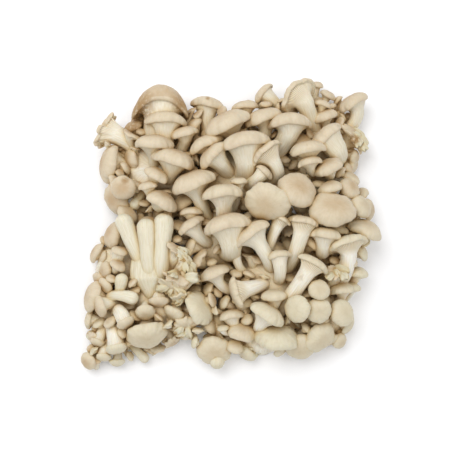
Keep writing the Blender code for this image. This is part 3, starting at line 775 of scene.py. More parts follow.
def mushroom_skin(mushroom, clump, seed, spacing, tint, fewer=1):
    """One mushroom's closed skin, from the top of its cap to the root of its stem.

    fewer divides the number of rings: 1 for a listed mushroom, 2 for a filling one and 3 for a button.
    """
    shape = SHAPES[mushroom.shape]
    radius = 0.5 * mushroom.cap * MM
    middle = np.array((mushroom.x, mushroom.y, mushroom.z)) * MM
    across, _, out = facing(mushroom.heading, mushroom.tilt)
    gills = gill_count(mushroom, spacing)
    wide = mushroom.shape in WIDE_SHAPES and mushroom.cap >= WIDE_CAP
    skin = Skin({1: gills * (4 if wide else 2), 2: gills, 3: BUTTON_SIDES}[fewer])
    cap_ring = cap_former(mushroom, skin.angles, seed)
    smooth = mushroom.shape in SMOOTH_CONES
    stalk, beige = float(smooth), BEIGE * smooth
    shows = GILLS_SHOW.get(mushroom.shape, GILLS_SHOW_ELSE)
    sink = 0 if smooth else EDGE_SINK * shape.lip
    dimple = 0 if smooth else DIMPLE_DEPTH

    dome_rings = DOME_RINGS // fewer
    for i in range(1, dome_rings + 1):
        slope = 0.5 * math.pi * i / dome_rings
        width = math.sin(slope)
        dip = dimple * math.exp(-(width / DIMPLE_WIDTH) ** 2)
        height = (shape.dome + sink) * math.cos(slope) - sink - dip
        tip = max(BEIGE, TIP_BEIGE * math.cos(slope)) if smooth else 1
        centre = HOOD_CENTRE * width if mushroom.shape == "hood" else width
        skin.ring(cap_ring(width, height), radius * slope, cap=tip, centre=centre, stalk=stalk)
    edge = radius * 0.5 * math.pi
    lip_rings = LIP_RINGS // fewer
    for i in range(1, lip_rings + 1):
        turn = 0.5 * math.pi * i / lip_rings
        width = 1 - (1 - LIP_WIDTH) * (1 - math.cos(turn)) * (not smooth)
        height = -sink - (shape.lip - sink) * math.sin(turn)
        along = edge + radius * shape.lip * turn
        skin.ring(cap_ring(width, height), along, cap=BEIGE if smooth else 1, centre=1, stalk=stalk)
    roll_rings = 0 if smooth else max(1, ROLL_RINGS // fewer)
    for i in range(1, roll_rings + 1):
        share = i / roll_rings
        width = LIP_WIDTH + (ROLL_WIDTH - LIP_WIDTH) * share
        height = -shape.lip * (1 + (ROLL_HEIGHT - 1) * share**2)
        along = edge + radius * (ROLL_FLOW + ROLL_FLOW_LENGTH * share)
        skin.ring(cap_ring(width, height), along, under=1, shows=shows)

    path = stem_path(middle - out * (shape.lip * radius), out, mushroom, clump)
    steps = [bezier(path, i / STEM_PARTS) for i in range(STEM_PARTS + 1)]
    length = sum(np.linalg.norm(after - before) for before, after in zip(steps, steps[1:]))
    least, most = CONE_SHARES
    cone = SMOOTH_CONES.get(mushroom.shape, min(most, max(least, CONE * radius / length)))
    stem = stem_rings(mushroom, skin.angles, seed, path, across, cone, STEM_RINGS // fewer)
    start, finish = skin.rings[-1], stem[0][1]
    waist = finish + bezier(path, CONE_WAIST * cone) - bezier(path, cone)
    waist = 0.5 * (start + finish) if smooth else CONE_EDGE * start + (1 - CONE_EDGE) * waist
    gill_rings = GILL_RINGS // fewer
    for i in range(1, gill_rings + 1):
        share = i / (gill_rings + 1)
        ring = start * (1 - share) ** 2 + waist * 2 * share * (1 - share) + finish * share**2
        under = 0 if smooth else min(1, GILLS_FADE * (1 - share))
        along = edge + radius * (GILL_FLOW + share)
        skin.ring(ring, along, cap=beige, under=under, shows=shows, stalk=stalk)
    for share, ring in stem:
        skin.ring(ring, edge + radius * STEM_FLOW + length * share, cap=beige, stalk=1)
    return skin.close(middle + out * (radius * (shape.dome - dimple)), bezier(path, 1.0), gills, tint)


def base_skin(clump, tint):
    """The uneven lump that a clump's stems rise from, cut flat at the bottom."""
    radius = clump.base_radius * MM
    foot = np.array((clump.base_x * MM, clump.base_y * MM, 0.0))
    skin = Skin(BASE_SIDES)
    profile = [(0.0, BASE_HEIGHT), *BASE_OUTLINE]
    for place in np.linspace(BASE_FIRST_RING, len(profile) - 1, BASE_RINGS):
        step = min(int(place), len(profile) - 2)
        share = place - step
        width, height = (a * (1 - share) + b * share for a, b in zip(profile[step], profile[step + 1]))
        ring = []
        for angle in skin.angles:
            way = Vector((width * math.cos(angle), width * math.sin(angle), height))
            swell = 1 + BASE_LUMPS * noise.noise(way * BASE_LUMP_SCALE + Vector(foot) * BASE_LUMP_SHIFT)
            ring.append(np.array(way) * (radius * swell) + foot)
        skin.ring(np.array(ring), radius * place, stalk=1.0)
    top = foot + np.array((0, 0, BASE_HEIGHT * radius))
    bottom = foot + np.array((0, 0, BASE_OUTLINE[-1][1] * radius))
    return skin.close(top, bottom, 0, tint)


def shred_skin(seed, tint):
    """A shred of torn flesh that stands on its end: a thin bent flap, folded along and broad near its tip."""
    skin = Skin(SHRED_SIDES)
    length, width, thickness = SHRED_LENGTH * MM, 0.5 * SHRED_WIDTH * MM, 0.5 * SHRED_THICKNESS * MM

    def middle(share):
        bow = SHRED_BOW * length * math.sin(math.pi * share)
        return np.array((SHRED_BOW_ASIDE * bow * math.cos(seed), bow, length * share))

    for i in range(1, SHRED_RINGS):
        share = i / SHRED_RINGS
        full = math.sin(math.pi * share**SHRED_WIDEST) ** SHRED_ROUND
        sideways = np.cos(skin.angles)
        ragged = waves(skin.angles, seed, SHRED_EDGE_WAVES, 1, share)
        folds = SHRED_FOLDS * thickness * full * waves(sideways, seed, SHRED_FOLD_WAVES, 0, share)
        through = np.sin(skin.angles) * thickness * full + folds - SHRED_CUP * width * full * sideways**2
        tip = SHRED_TIP * length * waves(sideways, seed, SHRED_TIP_WAVES) * (1 - share)
        ring = np.stack([sideways * width * full * ragged, through, tip], 1) + middle(1 - share)
        skin.ring(ring, length * share, cap=SHRED_BEIGE, stalk=1)
    return skin.close(middle(1.0), middle(0.0), 0, tint)


def low_mushrooms(clump, draw):
    """Small mushrooms low on the outer side of a clump; one in the middle of the bunch has none."""
    if math.hypot(clump.base_x, clump.base_y) < 2 * clump.base_radius:
        return []
    outward = math.degrees(math.atan2(clump.base_y, clump.base_x))
    away = LOW_DISTANCE * clump.base_radius
    low = []
    for turn in LOW_TURNS:
        heading = outward + turn + draw.uniform(-LOW_SWING, LOW_SWING)
        low.append(Mushroom(
            clump.base_x + away * math.cos(math.radians(heading)),
            clump.base_y + away * math.sin(math.radians(heading)),
            LOW_HEIGHT * draw.uniform(*LOW_HEIGHTS), LOW_CAP * draw.uniform(*LOW_CAPS), heading,
            draw.uniform(*LOW_TILTS), LOW_STEM, LOW_REACH,
        ))
    return low


def mesh_of(name, skins):
    """One object of several closed skins, with their attributes."""
    mesh = bpy.data.meshes.new(name)
    starts = np.cumsum([0] + [len(points) for points, *_ in skins])
    places = np.concatenate([points for points, *_ in skins])
    faces = []
    for start, (_, quads, triangles, _) in zip(starts, skins):
        faces += (quads + start).tolist() + (triangles + start).tolist()
    mesh.from_pydata(places.tolist(), [], faces)
    for names, kind, key in ((Skin.NUMBERS, "FLOAT", "value"), (Skin.VECTORS, "FLOAT_VECTOR", "vector")):
        for each in names:
            values = np.concatenate([facts[each] for *_, facts in skins])
            mesh.attributes.new(each, kind, "POINT").data.foreach_set(key, values.astype(np.float32).ravel())
    mesh.shade_smooth()
    made = bpy.data.objects.new(name, mesh)
    bpy.context.scene.collection.objects.link(made)
    return made


def new_tint(draw, mushroom=None):
    """Three numbers that set a mushroom's colour apart: how pale, how warm, and where its pattern starts."""
    pale, warm, start = draw.random(), draw.random(), draw.random()
    if mushroom:
        place = (PALE_WAY[0] * mushroom.x + PALE_WAY[1] * mushroom.y) / PALE_LENGTH
        pale = min(1, max(0, PALE_LEAST + PALE_DRAW * pale + place))
        if mushroom.shape == "hood":
            pale = 0
        elif mushroom.shape in SMOOTH_CONES:
            pale = SMOOTH_PALE
    return pale, warm, start


def tree_of_solids():
    """All the frame's solids as one tree for casting rays."""
    points, corners = [], []
    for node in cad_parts.values():
        node.data.calc_loop_triangles()
        corners += [tuple(len(points) + v for v in face.vertices) for face in node.data.loop_triangles]
        points += [v.co for v in node.data.vertices]
    return BVHTree.FromPolygons(points, corners)


def room_around(place, solids):
    """How far the nearest solid is on each side of a place, from the nearest side to the furthest."""
    room = []
    for i in range(FILL_SIDES):
        turn = math.tau * i / FILL_SIDES
        hit = solids.ray_cast(place, Vector((math.cos(turn), math.sin(turn), 0)), FILL_REACH * MM)[3]
        room.append(math.inf if hit is None else hit)
    return sorted(room)


def is_open(room):
    """Whether too many sides of a place are open for something to grow there."""
    return room[FILL_SIDES - 1 - FILL_OPEN_SIDES] == math.inf


def is_free(place, solids, clearance):
    """Whether a place has some room round it and sees the sky."""
    if solids.find_nearest(place)[3] < clearance * MM:
        return False
    return any(solids.ray_cast(place, Vector(way))[0] is None for way in FILL_SKY)


def spots(step, draw):
    """Places all over the bunch's floor plan, unevenly spaced and in no order, in millimetres."""
    (west, south, _), (east, north, _) = ([math.floor(v / MM) for v in corner] for corner in CAD_BOX)
    places = [(x + draw.uniform(-0.5, 0.5) * step, y + draw.uniform(-0.5, 0.5) * step)
              for x in np.arange(west, east, step) for y in np.arange(south, north, step)]
    draw.shuffle(places)
    return places


def nearest_clump(x, y):
    """The name of the clump whose base is nearest."""
    return min(CLUMPS, key=lambda each: math.hypot(x - CLUMPS[each].base_x, y - CLUMPS[each].base_y))


def filling_mushrooms(solids, draw):
    """Young mushrooms for the room among the listed ones, by the name of the clump they grow from."""
    places = spots(FILL_STEP, draw)
    grown = {name: [] for name in CLUMPS}
    grown["clump_upper_left"] += FILL_BESIDE_HOOD
    taken = [(mushroom.x, mushroom.y, mushroom.cap) for mushroom in FILL_BESIDE_HOOD]
    narrowest, widest = FILL_CAPS
    for level in FILL_LEVELS:
        for x, y in places:
            z = level + draw.uniform(-FILL_LEVEL_SWING, FILL_LEVEL_SWING)
            size = draw.uniform(*FILL_SIZES)
            heading, tilt = FILL_HEADING + draw.gauss(0, FILL_TURN), draw.uniform(*FILL_TILTS)
            kind = draw.choice(FILL_KINDS)
            place = Vector((x, y, z)) * MM
            if not is_free(place, solids, FILL_CLEARANCE):
                continue
            room = room_around(place, solids)
            if is_open(room):
                continue
            cap = min(widest, max(narrowest, FILL_CAP_SHARE * room[1] / MM)) * size
            if any(math.hypot(x - u, y - v) < FILL_SPREAD * (cap + other) for u, v, other in taken):
                continue
            taken.append((x, y, cap))
            young = Mushroom(x, y, z, cap, heading, tilt, FILL_STEM * cap, FILL_STEM_REACH * cap, kind)
            grown[nearest_clump(x, y)].append(young)
    return grown


def button_places(filling, solids, draw):
    """Roots, leans, sizes and kinds for young buttons low in the gaps, by the name of their clump."""
    others = [mushroom for grown in filling.values() for mushroom in grown]
    places = {name: [] for name in CLUMPS}
    for x, y in spots(BUTTON_STEP, draw):
        root = Vector((x, y, draw.uniform(*BUTTON_ROOTS))) * MM
        lean = Vector((*(draw.uniform(*sway) for sway in BUTTON_LEANS), 1)).normalized()
        scale, kind = draw.uniform(*BUTTON_SIZES), draw.randrange(len(BUTTON_KINDS))
        tip = root + lean * (BUTTON_TIP * BUTTON_LENGTH * MM * scale)
        if not is_free(tip, solids, BUTTON_CLEARANCE) or is_open(room_around(tip, solids)):
            continue
        if any(math.hypot(x - other.x, y - other.y) < BUTTON_SPREAD * other.cap for other in others):
            continue
        places[nearest_clump(x, y)].append((root, lean, scale, kind))
    return places


def shred_places(mushroom, draw):
    """Roots and directions for the shreds that lie over a torn cap, with their scale and kind."""
    shape = SHAPES[mushroom.shape]
    radius = 0.5 * mushroom.cap * MM
    middle = Vector((mushroom.x, mushroom.y, mushroom.z)) * MM
    across, through, out = (Vector(axis) for axis in facing(mushroom.heading, mushroom.tilt))
    count = round(SHREDS_PER_WIDTH * mushroom.cap)
    places = []
    for i in range(count):
        share = math.sqrt((i + 0.5) / count)
        turn = i * GOLDEN_TURN
        outward = across * math.cos(turn) + through * (shape.depth * math.sin(turn))
        rise = shape.dome * math.sqrt(1 - share**2) - SHRED_SINK
        root = middle + outward * (SHRED_SPREAD * share * radius) + out * (rise * radius)
        root.z = max(root.z, SHRED_LOWEST * MM)
        swing = draw.uniform(-SHRED_SWING, SHRED_SWING)
        hang = Vector((math.sin(swing), -math.cos(swing), 0))
        way = (hang - out * hang.dot(out) + out * draw.uniform(*SHRED_LIFTS)).normalized()
        kind = len(BUTTON_KINDS) + draw.randrange(SHRED_KINDS)
        size = min(SHRED_REACH * radius / (SHRED_LENGTH * MM), SHRED_MOST) * draw.uniform(*SHRED_SIZES)
        places.append((root - SHRED_DEPTH * MM * way, way, size, kind))
    return places


def sprout_points(name, places):
    """A mesh of single points that young buttons and shreds of flesh grow on."""
    mesh = bpy.data.meshes.new(name)
    mesh.from_pydata([tuple(root) for root, *_ in places], [], [])
    leans = mesh.attributes.new("lean", "FLOAT_VECTOR", "POINT")
    leans.data.foreach_set("vector", [v for _, lean, *_ in places for v in lean])
    mesh.attributes.new("size", "FLOAT", "POINT").data.foreach_set("value", [p[2] for p in places])
    mesh.attributes.new("kind", "INT", "POINT").data.foreach_set("value", [p[3] for p in places])
    return bpy.data.objects.new(name, mesh)


def plug(tree, node, inputs):
    """Sets inputs of a node: to a plain value, or by a link from a socket."""
    for key, value in inputs.items():
        if isinstance(value, bpy.types.NodeSocket):
            tree.links.new(value, node.inputs[key])
        else:
            node.inputs[key].default_value = value


def add(tree, kind, inputs=None, **settings):
    """A new node with its settings and inputs."""
    node = tree.nodes.new(kind)
    for name, value in settings.items():
        setattr(node, name, value)
    plug(tree, node, inputs or {})
    return node


def output(tree, kind, inputs=None, **settings):
    """The first output of a new node."""
    return add(tree, kind, inputs, **settings).outputs[0]


def maths(tree, operation, *values):
    """The result of a Math node."""
    return output(tree, "ShaderNodeMath", dict(enumerate(values)), operation=operation)


def product(tree, value, *others):
    """Values multiplied with each other, from the first to the last."""
    for other in others:
        value = maths(tree, "MULTIPLY", value, other)
    return value


def vectors(tree, operation, *values):
    """The result of a Vector Math node on vectors."""
    return output(tree, "ShaderNodeVectorMath", dict(enumerate(values)), operation=operation)


def scaled(tree, vector, factor):
    """A vector times a number."""
    return output(tree, "ShaderNodeVectorMath", {"Vector": vector, "Scale": factor}, operation="SCALE")


def ranged(tree, value, low, high, to_low=0.0, to_high=1.0, smooth=True):
    """A value mapped from one range to another."""
    inputs = {"Value": value, "From Min": low, "From Max": high, "To Min": to_low, "To Max": to_high}
    kind = "SMOOTHSTEP" if smooth else "LINEAR"
    return output(tree, "ShaderNodeMapRange", inputs, interpolation_type=kind)


def noise_value(tree, vector, scale, detail=2.0, roughness=0.5):
    """Noise between 0 and 1."""
    inputs = {"Vector": vector, "Scale": scale, "Detail": detail, "Roughness": roughness}
    return output(tree, "ShaderNodeTexNoise", inputs)


def even_noise(tree, vector, scale, detail=2.0):
    """Noise between -0.5 and 0.5."""
    return maths(tree, "SUBTRACT", noise_value(tree, vector, scale, detail), 0.5)


def new_group(name, kind, inputs, outputs):
    """A node group with named sockets of these kinds: its tree, its inputs and its first output."""
    tree = bpy.data.node_groups.new(name, kind)
    for socket, kind_of in inputs.items():
        tree.interface.new_socket(socket, in_out="INPUT", socket_type="NodeSocket" + kind_of)
    for socket, kind_of in outputs.items():
        tree.interface.new_socket(socket, in_out="OUTPUT", socket_type="NodeSocket" + kind_of)
    return tree, tree.nodes.new("NodeGroupInput").outputs, tree.nodes.new("NodeGroupOutput").inputs[0]


def field(tree, name, kind="FLOAT"):
    """A named attribute of the geometry."""
    return output(tree, "GeometryNodeInputNamedAttribute", {"Name": name}, data_type=kind)


def set_inputs(modifier, values):
    """Sets a modifier's inputs by their sockets' identifiers."""
    for item in modifier.node_group.interface.items_tree:
        if item.item_type == "SOCKET" and item.in_out == "INPUT" and item.name in values:
            modifier[item.identifier] = values[item.name]


def grown_sprouts(tree, given):
    """Buttons and shreds on their points, each leaning and facing its own way."""
    points = add(tree, "GeometryNodeObjectInfo", {"Object": given["Sprout Points"]}).outputs["Geometry"]
    kinds = output(tree, "GeometryNodeCollectionInfo", {
        "Collection": given["Sprouts"], "Separate Children": True, "Reset Children": True,
    })
    lean = field(tree, "lean", "FLOAT_VECTOR")
    upright = output(tree, "FunctionNodeAlignRotationToVector", {"Vector": lean}, axis="Z")
    face_up = output(tree, "FunctionNodeAlignRotationToVector", {
        "Rotation": upright, "Vector": (0, 0, 1),
    }, axis="Y", pivot_axis="Z")
    turn = output(tree, "FunctionNodeRandomValue", {
        "Min": (0, 0, -SPROUT_TURN), "Max": (0, 0, SPROUT_TURN), "Seed": given["Seed"],
    }, data_type="FLOAT_VECTOR")
    turned = output(tree, "FunctionNodeRotateRotation", {
        "Rotation": face_up, "Rotate By": turn,
    }, rotation_space="LOCAL")
    grown = output(tree, "GeometryNodeInstanceOnPoints", {
        "Points": points, "Instance": kinds, "Pick Instance": True,
        "Instance Index": field(tree, "kind", "INT"), "Rotation": turned, "Scale": field(tree, "size"),
    })
    return output(tree, "GeometryNodeRealizeInstances", {"Geometry": grown})


def skin_relief(tree, given, place, cap):
    """The gills as a wave between -1 and 1, and the height of the whole relief above the plain skin."""
    flow = field(tree, "flow", "FLOAT_VECTOR")
    per_metre = maths(tree, "DIVIDE", 1.0, given["Lump Size"])
    lumps = even_noise(tree, place, per_metre)
    ripples = even_noise(tree, place, product(tree, per_metre, RIPPLE_SCALE))
    swell = product(tree, maths(tree, "MULTIPLY_ADD", ripples, RIPPLE_HEIGHT, lumps), given["Lump Depth"])
    turns = product(tree, field(tree, "around"), field(tree, "gills"), math.tau)
    ridge = product(tree, field(tree, "under"), field(tree, "shows"), maths(tree, "COSINE", turns))
    gills = product(tree, ridge, given["Gill Depth"])
    grooves = even_noise(tree, vectors(tree, "MULTIPLY", flow, STEM_GROOVES), 1.0, GROOVE_DETAIL)
    fibres = product(tree, grooves, field(tree, "stalk"), given["Fibre Depth"])
    streaks = even_noise(tree, vectors(tree, "MULTIPLY", flow, CAP_WRINKLES), 1.0)
    margin = maths(tree, "POWER", field(tree, "centre"), WRINKLE_POWER)
    wrinkles = product(tree, margin, cap, streaks, given["Fibre Depth"])
    height = maths(tree, "ADD", maths(tree, "ADD", swell, gills), maths(tree, "ADD", fibres, wrinkles))
    return ridge, height


def clump_tree():
    """Grows buttons and shreds on points, gives all skin its relief and sets the materials."""
    tree, given, result = new_group("clump skin", "GeometryNodeTree", {
        "Geometry": "Geometry", "Sprout Points": "Object", "Sprouts": "Collection", "Seed": "Int",
        "Gill Depth": "Float", "Fibre Depth": "Float", "Lump Depth": "Float", "Lump Size": "Float",
        "Cap Skin": "Material", "Stem Flesh": "Material",
    }, {"Geometry": "Geometry"})
    every = add(tree, "GeometryNodeJoinGeometry")
    tree.links.new(grown_sprouts(tree, given), every.inputs[0])
    tree.links.new(given["Geometry"], every.inputs[0])

    place = output(tree, "GeometryNodeInputPosition")
    normal = output(tree, "GeometryNodeInputNormal")
    cap = field(tree, "cap")
    ridge, height = skin_relief(tree, given, place, cap)
    marked = output(tree, "GeometryNodeStoreNamedAttribute", {
        "Geometry": every.outputs[0], "Name": "ridge", "Value": ridge,
    }, data_type="FLOAT", domain="POINT")
    moved = output(tree, "GeometryNodeSetPosition", {
        "Geometry": marked, "Offset": scaled(tree, normal, height),
    })

    # Nothing lies below the floor.
    x, y, z = add(tree, "ShaderNodeSeparateXYZ", {"Vector": place}).outputs
    above = output(tree, "ShaderNodeCombineXYZ", {"X": x, "Y": y, "Z": maths(tree, "MAXIMUM", z, 0.0)})
    cut = output(tree, "GeometryNodeSetPosition", {"Geometry": moved, "Position": above})
    real = output(tree, "GeometryNodeRealizeInstances", {"Geometry": cut})
    stems = output(tree, "GeometryNodeSetMaterial", {"Geometry": real, "Material": given["Stem Flesh"]})
    caps = output(tree, "GeometryNodeSetMaterial", {
        "Geometry": stems, "Selection": maths(tree, "GREATER_THAN", cap, 0.5), "Material": given["Cap Skin"],
    })
    tree.links.new(caps, result)
    return tree


def hollow_tree():
    """Stores how much of the sky the neighbours hide from each point, as the attribute "hollow"."""
    tree, given, result = new_group("hollows", "GeometryNodeTree", {
        "Geometry": "Geometry", "Reach": "Float", "Clearance": "Float",
    }, {"Geometry": "Geometry"})
    place = output(tree, "GeometryNodeInputPosition")
    normal = output(tree, "GeometryNodeInputNormal")
    start = vectors(tree, "ADD", place, scaled(tree, normal, given["Clearance"]))
    hits = 0.0
    for i in range(HOLLOW_WAYS):
        rise = 1 - 2 * (i + 0.5) / HOLLOW_WAYS
        level = math.sqrt(1 - rise**2)
        way = (level * math.cos(i * GOLDEN_TURN), level * math.sin(i * GOLDEN_TURN), rise)
        hit = add(tree, "GeometryNodeRaycast", {
            "Target Geometry": given["Geometry"], "Source Position": start,
            "Ray Direction": vectors(tree, "ADD", normal, way), "Ray Length": given["Reach"],
        }).outputs
        near = ranged(tree, hit["Hit Distance"], 0.0, given["Reach"], 1.0, HOLLOW_FAR, smooth=False)
        hits = maths(tree, "MULTIPLY_ADD", near, hit["Is Hit"], hits)
    share = maths(tree, "DIVIDE", hits, float(HOLLOW_WAYS))
    soft = output(tree, "GeometryNodeBlurAttribute", {
        "Value": share, "Iterations": HOLLOW_BLURS,
    }, data_type="FLOAT")
    stored = output(tree, "GeometryNodeStoreNamedAttribute", {
        "Geometry": given["Geometry"], "Name": "hollow", "Value": soft,
    }, data_type="FLOAT", domain="POINT")
    tree.links.new(stored, result)
    return tree


def applied(source, tree, values):
    """The mesh that a Geometry Nodes tree makes of an object; the modifier is removed again."""
    modifier = source.modifiers.new(tree.name, "NODES")
    modifier.node_group = tree
    set_inputs(modifier, values)
    bpy.context.view_layer.update()
    graph = bpy.context.evaluated_depsgraph_get()
    mesh = bpy.data.meshes.new_from_object(source.evaluated_get(graph))
    source.modifiers.remove(modifier)
    return mesh


def set_marks(piece):
    """Stores how strong a brown mark is at each point of a piece, as the attribute "mark"."""
    mesh = piece.data
    places = np.empty(len(mesh.vertices) * 3, np.float32)
    mesh.vertices.foreach_get("co", places)
    places = places.reshape(-1, 3)
    strength = np.zeros(len(places), np.float32)
    for mark in MARKS:
        away = np.hypot(places[:, 0] - mark.x * MM, places[:, 1] - mark.y * MM) / (0.5 * mark.width * MM)
        strength = np.maximum(strength, mark.strength * np.clip(1 - away**2, 0, 1))
    mesh.attributes.new("mark", "FLOAT", "POINT").data.foreach_set("value", strength)


def attribute(tree, name, socket="Fac"):
    """An attribute of the mesh, in a material."""
    return add(tree, "ShaderNodeAttribute", attribute_type="GEOMETRY", attribute_name=name).outputs[socket]


def mixed(tree, factor, first, second, blend="MIX"):
    """Two colours mixed by a factor."""
    inputs = {0: factor, 6: first, 7: second}
    return add(tree, "ShaderNodeMix", inputs, data_type="RGBA", blend_type=blend).outputs[2]


def toned(tree, colour, tone):
    """A colour darkened by a tone."""
    return mixed(tree, 1.0, colour, tone, "MULTIPLY")


def masked(tree, vector, mask):
    """The noise of a mask, from nothing to its full strength."""
    grain = noise_value(tree, vector, mask.scale, mask.detail, mask.roughness)
    return ranged(tree, grain, mask.low, mask.high)


def mottle_group():
    """Soft patches of unlike tone, as a mask."""
    tree, given, result = new_group("mottle", "ShaderNodeTree", {
        "Vector": "Vector", "Scale": "Float", "Low": "Float", "High": "Float",
    }, {"Mask": "Float"})
    grain = noise_value(tree, given["Vector"], given["Scale"], *USUAL_GRAIN)
    tree.links.new(ranged(tree, grain, given["Low"], given["High"]), result)
    return tree


def bruise_and_shade_group():
    """Painted shade, warm and then dark brown, in the hollows, and rubbed or dried patches, over a flesh
    colour.
    """
    tree, given, result = new_group("bruises_and_shade", "ShaderNodeTree", {
        "Colour": "Color", "Shade Colour": "Color", "Bruise Colour": "Color",
        "Shade Amount": "Float", "Bruise Amount": "Float",
    }, {"Colour": "Color"})
    place = add(tree, "ShaderNodeTexCoord").outputs["Object"]
    patches, specks, crumbs = (masked(tree, place, mask) for mask in (RUBBED_MASK, SPECK_MASK, CRUMB_MASK))
    rubbed = product(tree, maths(tree, "MAXIMUM", patches, specks), given["Bruise Amount"])
    marks = maths(tree, "MAXIMUM", rubbed, product(tree, attribute(tree, "mark"), crumbs))
    marked = mixed(tree, marks, given["Colour"], given["Bruise Colour"])
    # Painted shade: the more of the sky the neighbours hide, the browner and then darker the flesh.
    hollow = attribute(tree, "hollow")
    shallow_shade = product(tree, ranged(tree, hollow, *SHALLOW_SHADE_RANGE), given["Shade Amount"])
    shade_toned = mixed(tree, shallow_shade, marked, toned(tree, marked, SHADE_TONE))
    deep = product(tree, ranged(tree, hollow, *DEEP_SHADE_RANGE), given["Shade Amount"])
    tree.links.new(mixed(tree, deep, shade_toned, given["Shade Colour"]), result)
    return tree


def grain_group():
    """Fine grain and fibres as a height for a Bump node."""
    tree, given, result = new_group("skin height", "ShaderNodeTree", {
        "Fibres": "Vector", "Fibre Share": "Float",
    }, {"Height": "Float"})
    place = add(tree, "ShaderNodeTexCoord").outputs["Object"]
    grain = noise_value(tree, place, GRAIN_SCALE, *FINE_GRAIN)
    fibre = noise_value(tree, given["Fibres"], 1.0, *FINE_GRAIN)
    tree.links.new(maths(tree, "MULTIPLY_ADD", fibre, given["Fibre Share"], grain), result)
    return tree


def placed(tree, group, inputs):
    """The output of a node group placed with its own values."""
    return output(tree, "ShaderNodeGroup", inputs, node_tree=group)


def mottled(tree, groups, vector, mask):
    """A mask of the usual grain, by the mottle group."""
    inputs = {"Vector": vector, "Scale": mask.scale, "Low": mask.low, "High": mask.high}
    return placed(tree, groups["mottle"], inputs)


def flesh(name, clean_colour, finish, colours, groups):
    """A flesh material: a clean colour with painted shade in its hollows and fine grain along the skin's
    flow.
    """
    material = bpy.data.materials.new(name)
    material.use_nodes = True
    tree = material.node_tree
    flow = attribute(tree, "flow", "Vector")
    tint = add(tree, "ShaderNodeSeparateXYZ", {"Vector": attribute(tree, "tint", "Vector")}).outputs
    bruised_and_shaded = placed(tree, groups["bruises_and_shade"], {
        "Colour": clean_colour(tree, flow, tint, colours, groups),
        "Shade Colour": tuple(colours.hollow), "Bruise Colour": tuple(colours.bruise),
        "Shade Amount": finish.hollow, "Bruise Amount": finish.bruise,
    })
    height = placed(tree, groups["height"], {
        "Fibres": vectors(tree, "MULTIPLY", flow, finish.grain), "Fibre Share": finish.fibres,
    })
    grain = output(tree, "ShaderNodeBump", {
        "Strength": GRAIN_STRENGTH, "Distance": GRAIN_HEIGHT, "Height": height,
    })
    plug(tree, tree.nodes["Principled BSDF"], {
        "Base Color": bruised_and_shaded, "Roughness": finish.roughness, "Specular IOR Level": GLOSS,
        "Subsurface Weight": finish.depth, "Subsurface Radius": LIGHT_COLOURS,
        "Subsurface Scale": LIGHT_REACH, "Normal": grain,
    })
    return material


def cap_colour(tree, flow, tint, colours, groups):
    """The clean colour of a cap: tan in the middle, paler at the edge, with soft radial streaks."""
    place = add(tree, "ShaderNodeTexCoord").outputs["Object"]
    patches = mottled(tree, groups, place, TAN_MASK)
    centre = maths(tree, "MULTIPLY_ADD", patches, TAN_SHARE, attribute(tree, "centre"))
    margin = ranged(tree, centre, *MARGIN_RANGE)
    colour = mixed(tree, margin, tuple(colours.cap_centre), tuple(colours.cap_margin))
    pale = ranged(tree, tint[0], *PALE_CAP_RANGE)
    colour = mixed(tree, pale, colour, tuple(colours.cap_pale))
    streaks = mottled(tree, groups, vectors(tree, "MULTIPLY", flow, CAP_STREAKS), STREAK_MASK)
    flecks = mottled(tree, groups, place, FLECK_MASK)
    marked = maths(tree, "MULTIPLY_ADD", flecks, FLECK_SHARE, product(tree, streaks, STREAK_SHARE))
    return mixed(tree, marked, colour, toned(tree, colour, STREAK_TONE))


def stem_colour(tree, flow, tint, colours, groups):
    """The clean colour of a stem, with fine fibres along it, and of the gills that run down on to it, darker
    between the gills as painted shade.
    """
    fibres = mottled(tree, groups, vectors(tree, "MULTIPLY", flow, STEM_FIBRES), FIBRE_MASK)
    pale = ranged(tree, tint[0], *PALE_STEM_RANGE)
    plain = mixed(tree, pale, tuple(colours.stem), tuple(colours.stem_pale))
    tip = ranged(tree, attribute(tree, "cap"), *TIP_RANGE)
    plain = mixed(tree, tip, plain, tuple(colours.cap_pale))
    warm = maths(tree, "MULTIPLY_ADD", fibres, FIBRE_SHARE, product(tree, tint[1], WARM_SHARE))
    colour = mixed(tree, warm, plain, toned(tree, plain, FIBRE_TONE))
    # Painted shade: the flesh between the gills is darker.
    valley_shade = ranged(tree, attribute(tree, "ridge"), *VALLEY_SHADE_RANGE)
    gills = mixed(tree, valley_shade, tuple(colours.gill), toned(tree, tuple(colours.gill), GILL_SHADE_TONE))
    gilled = product(tree, attribute(tree, "under"), attribute(tree, "shows"))
    return mixed(tree, ranged(tree, gilled, *GILLED_RANGE), colour, gills)


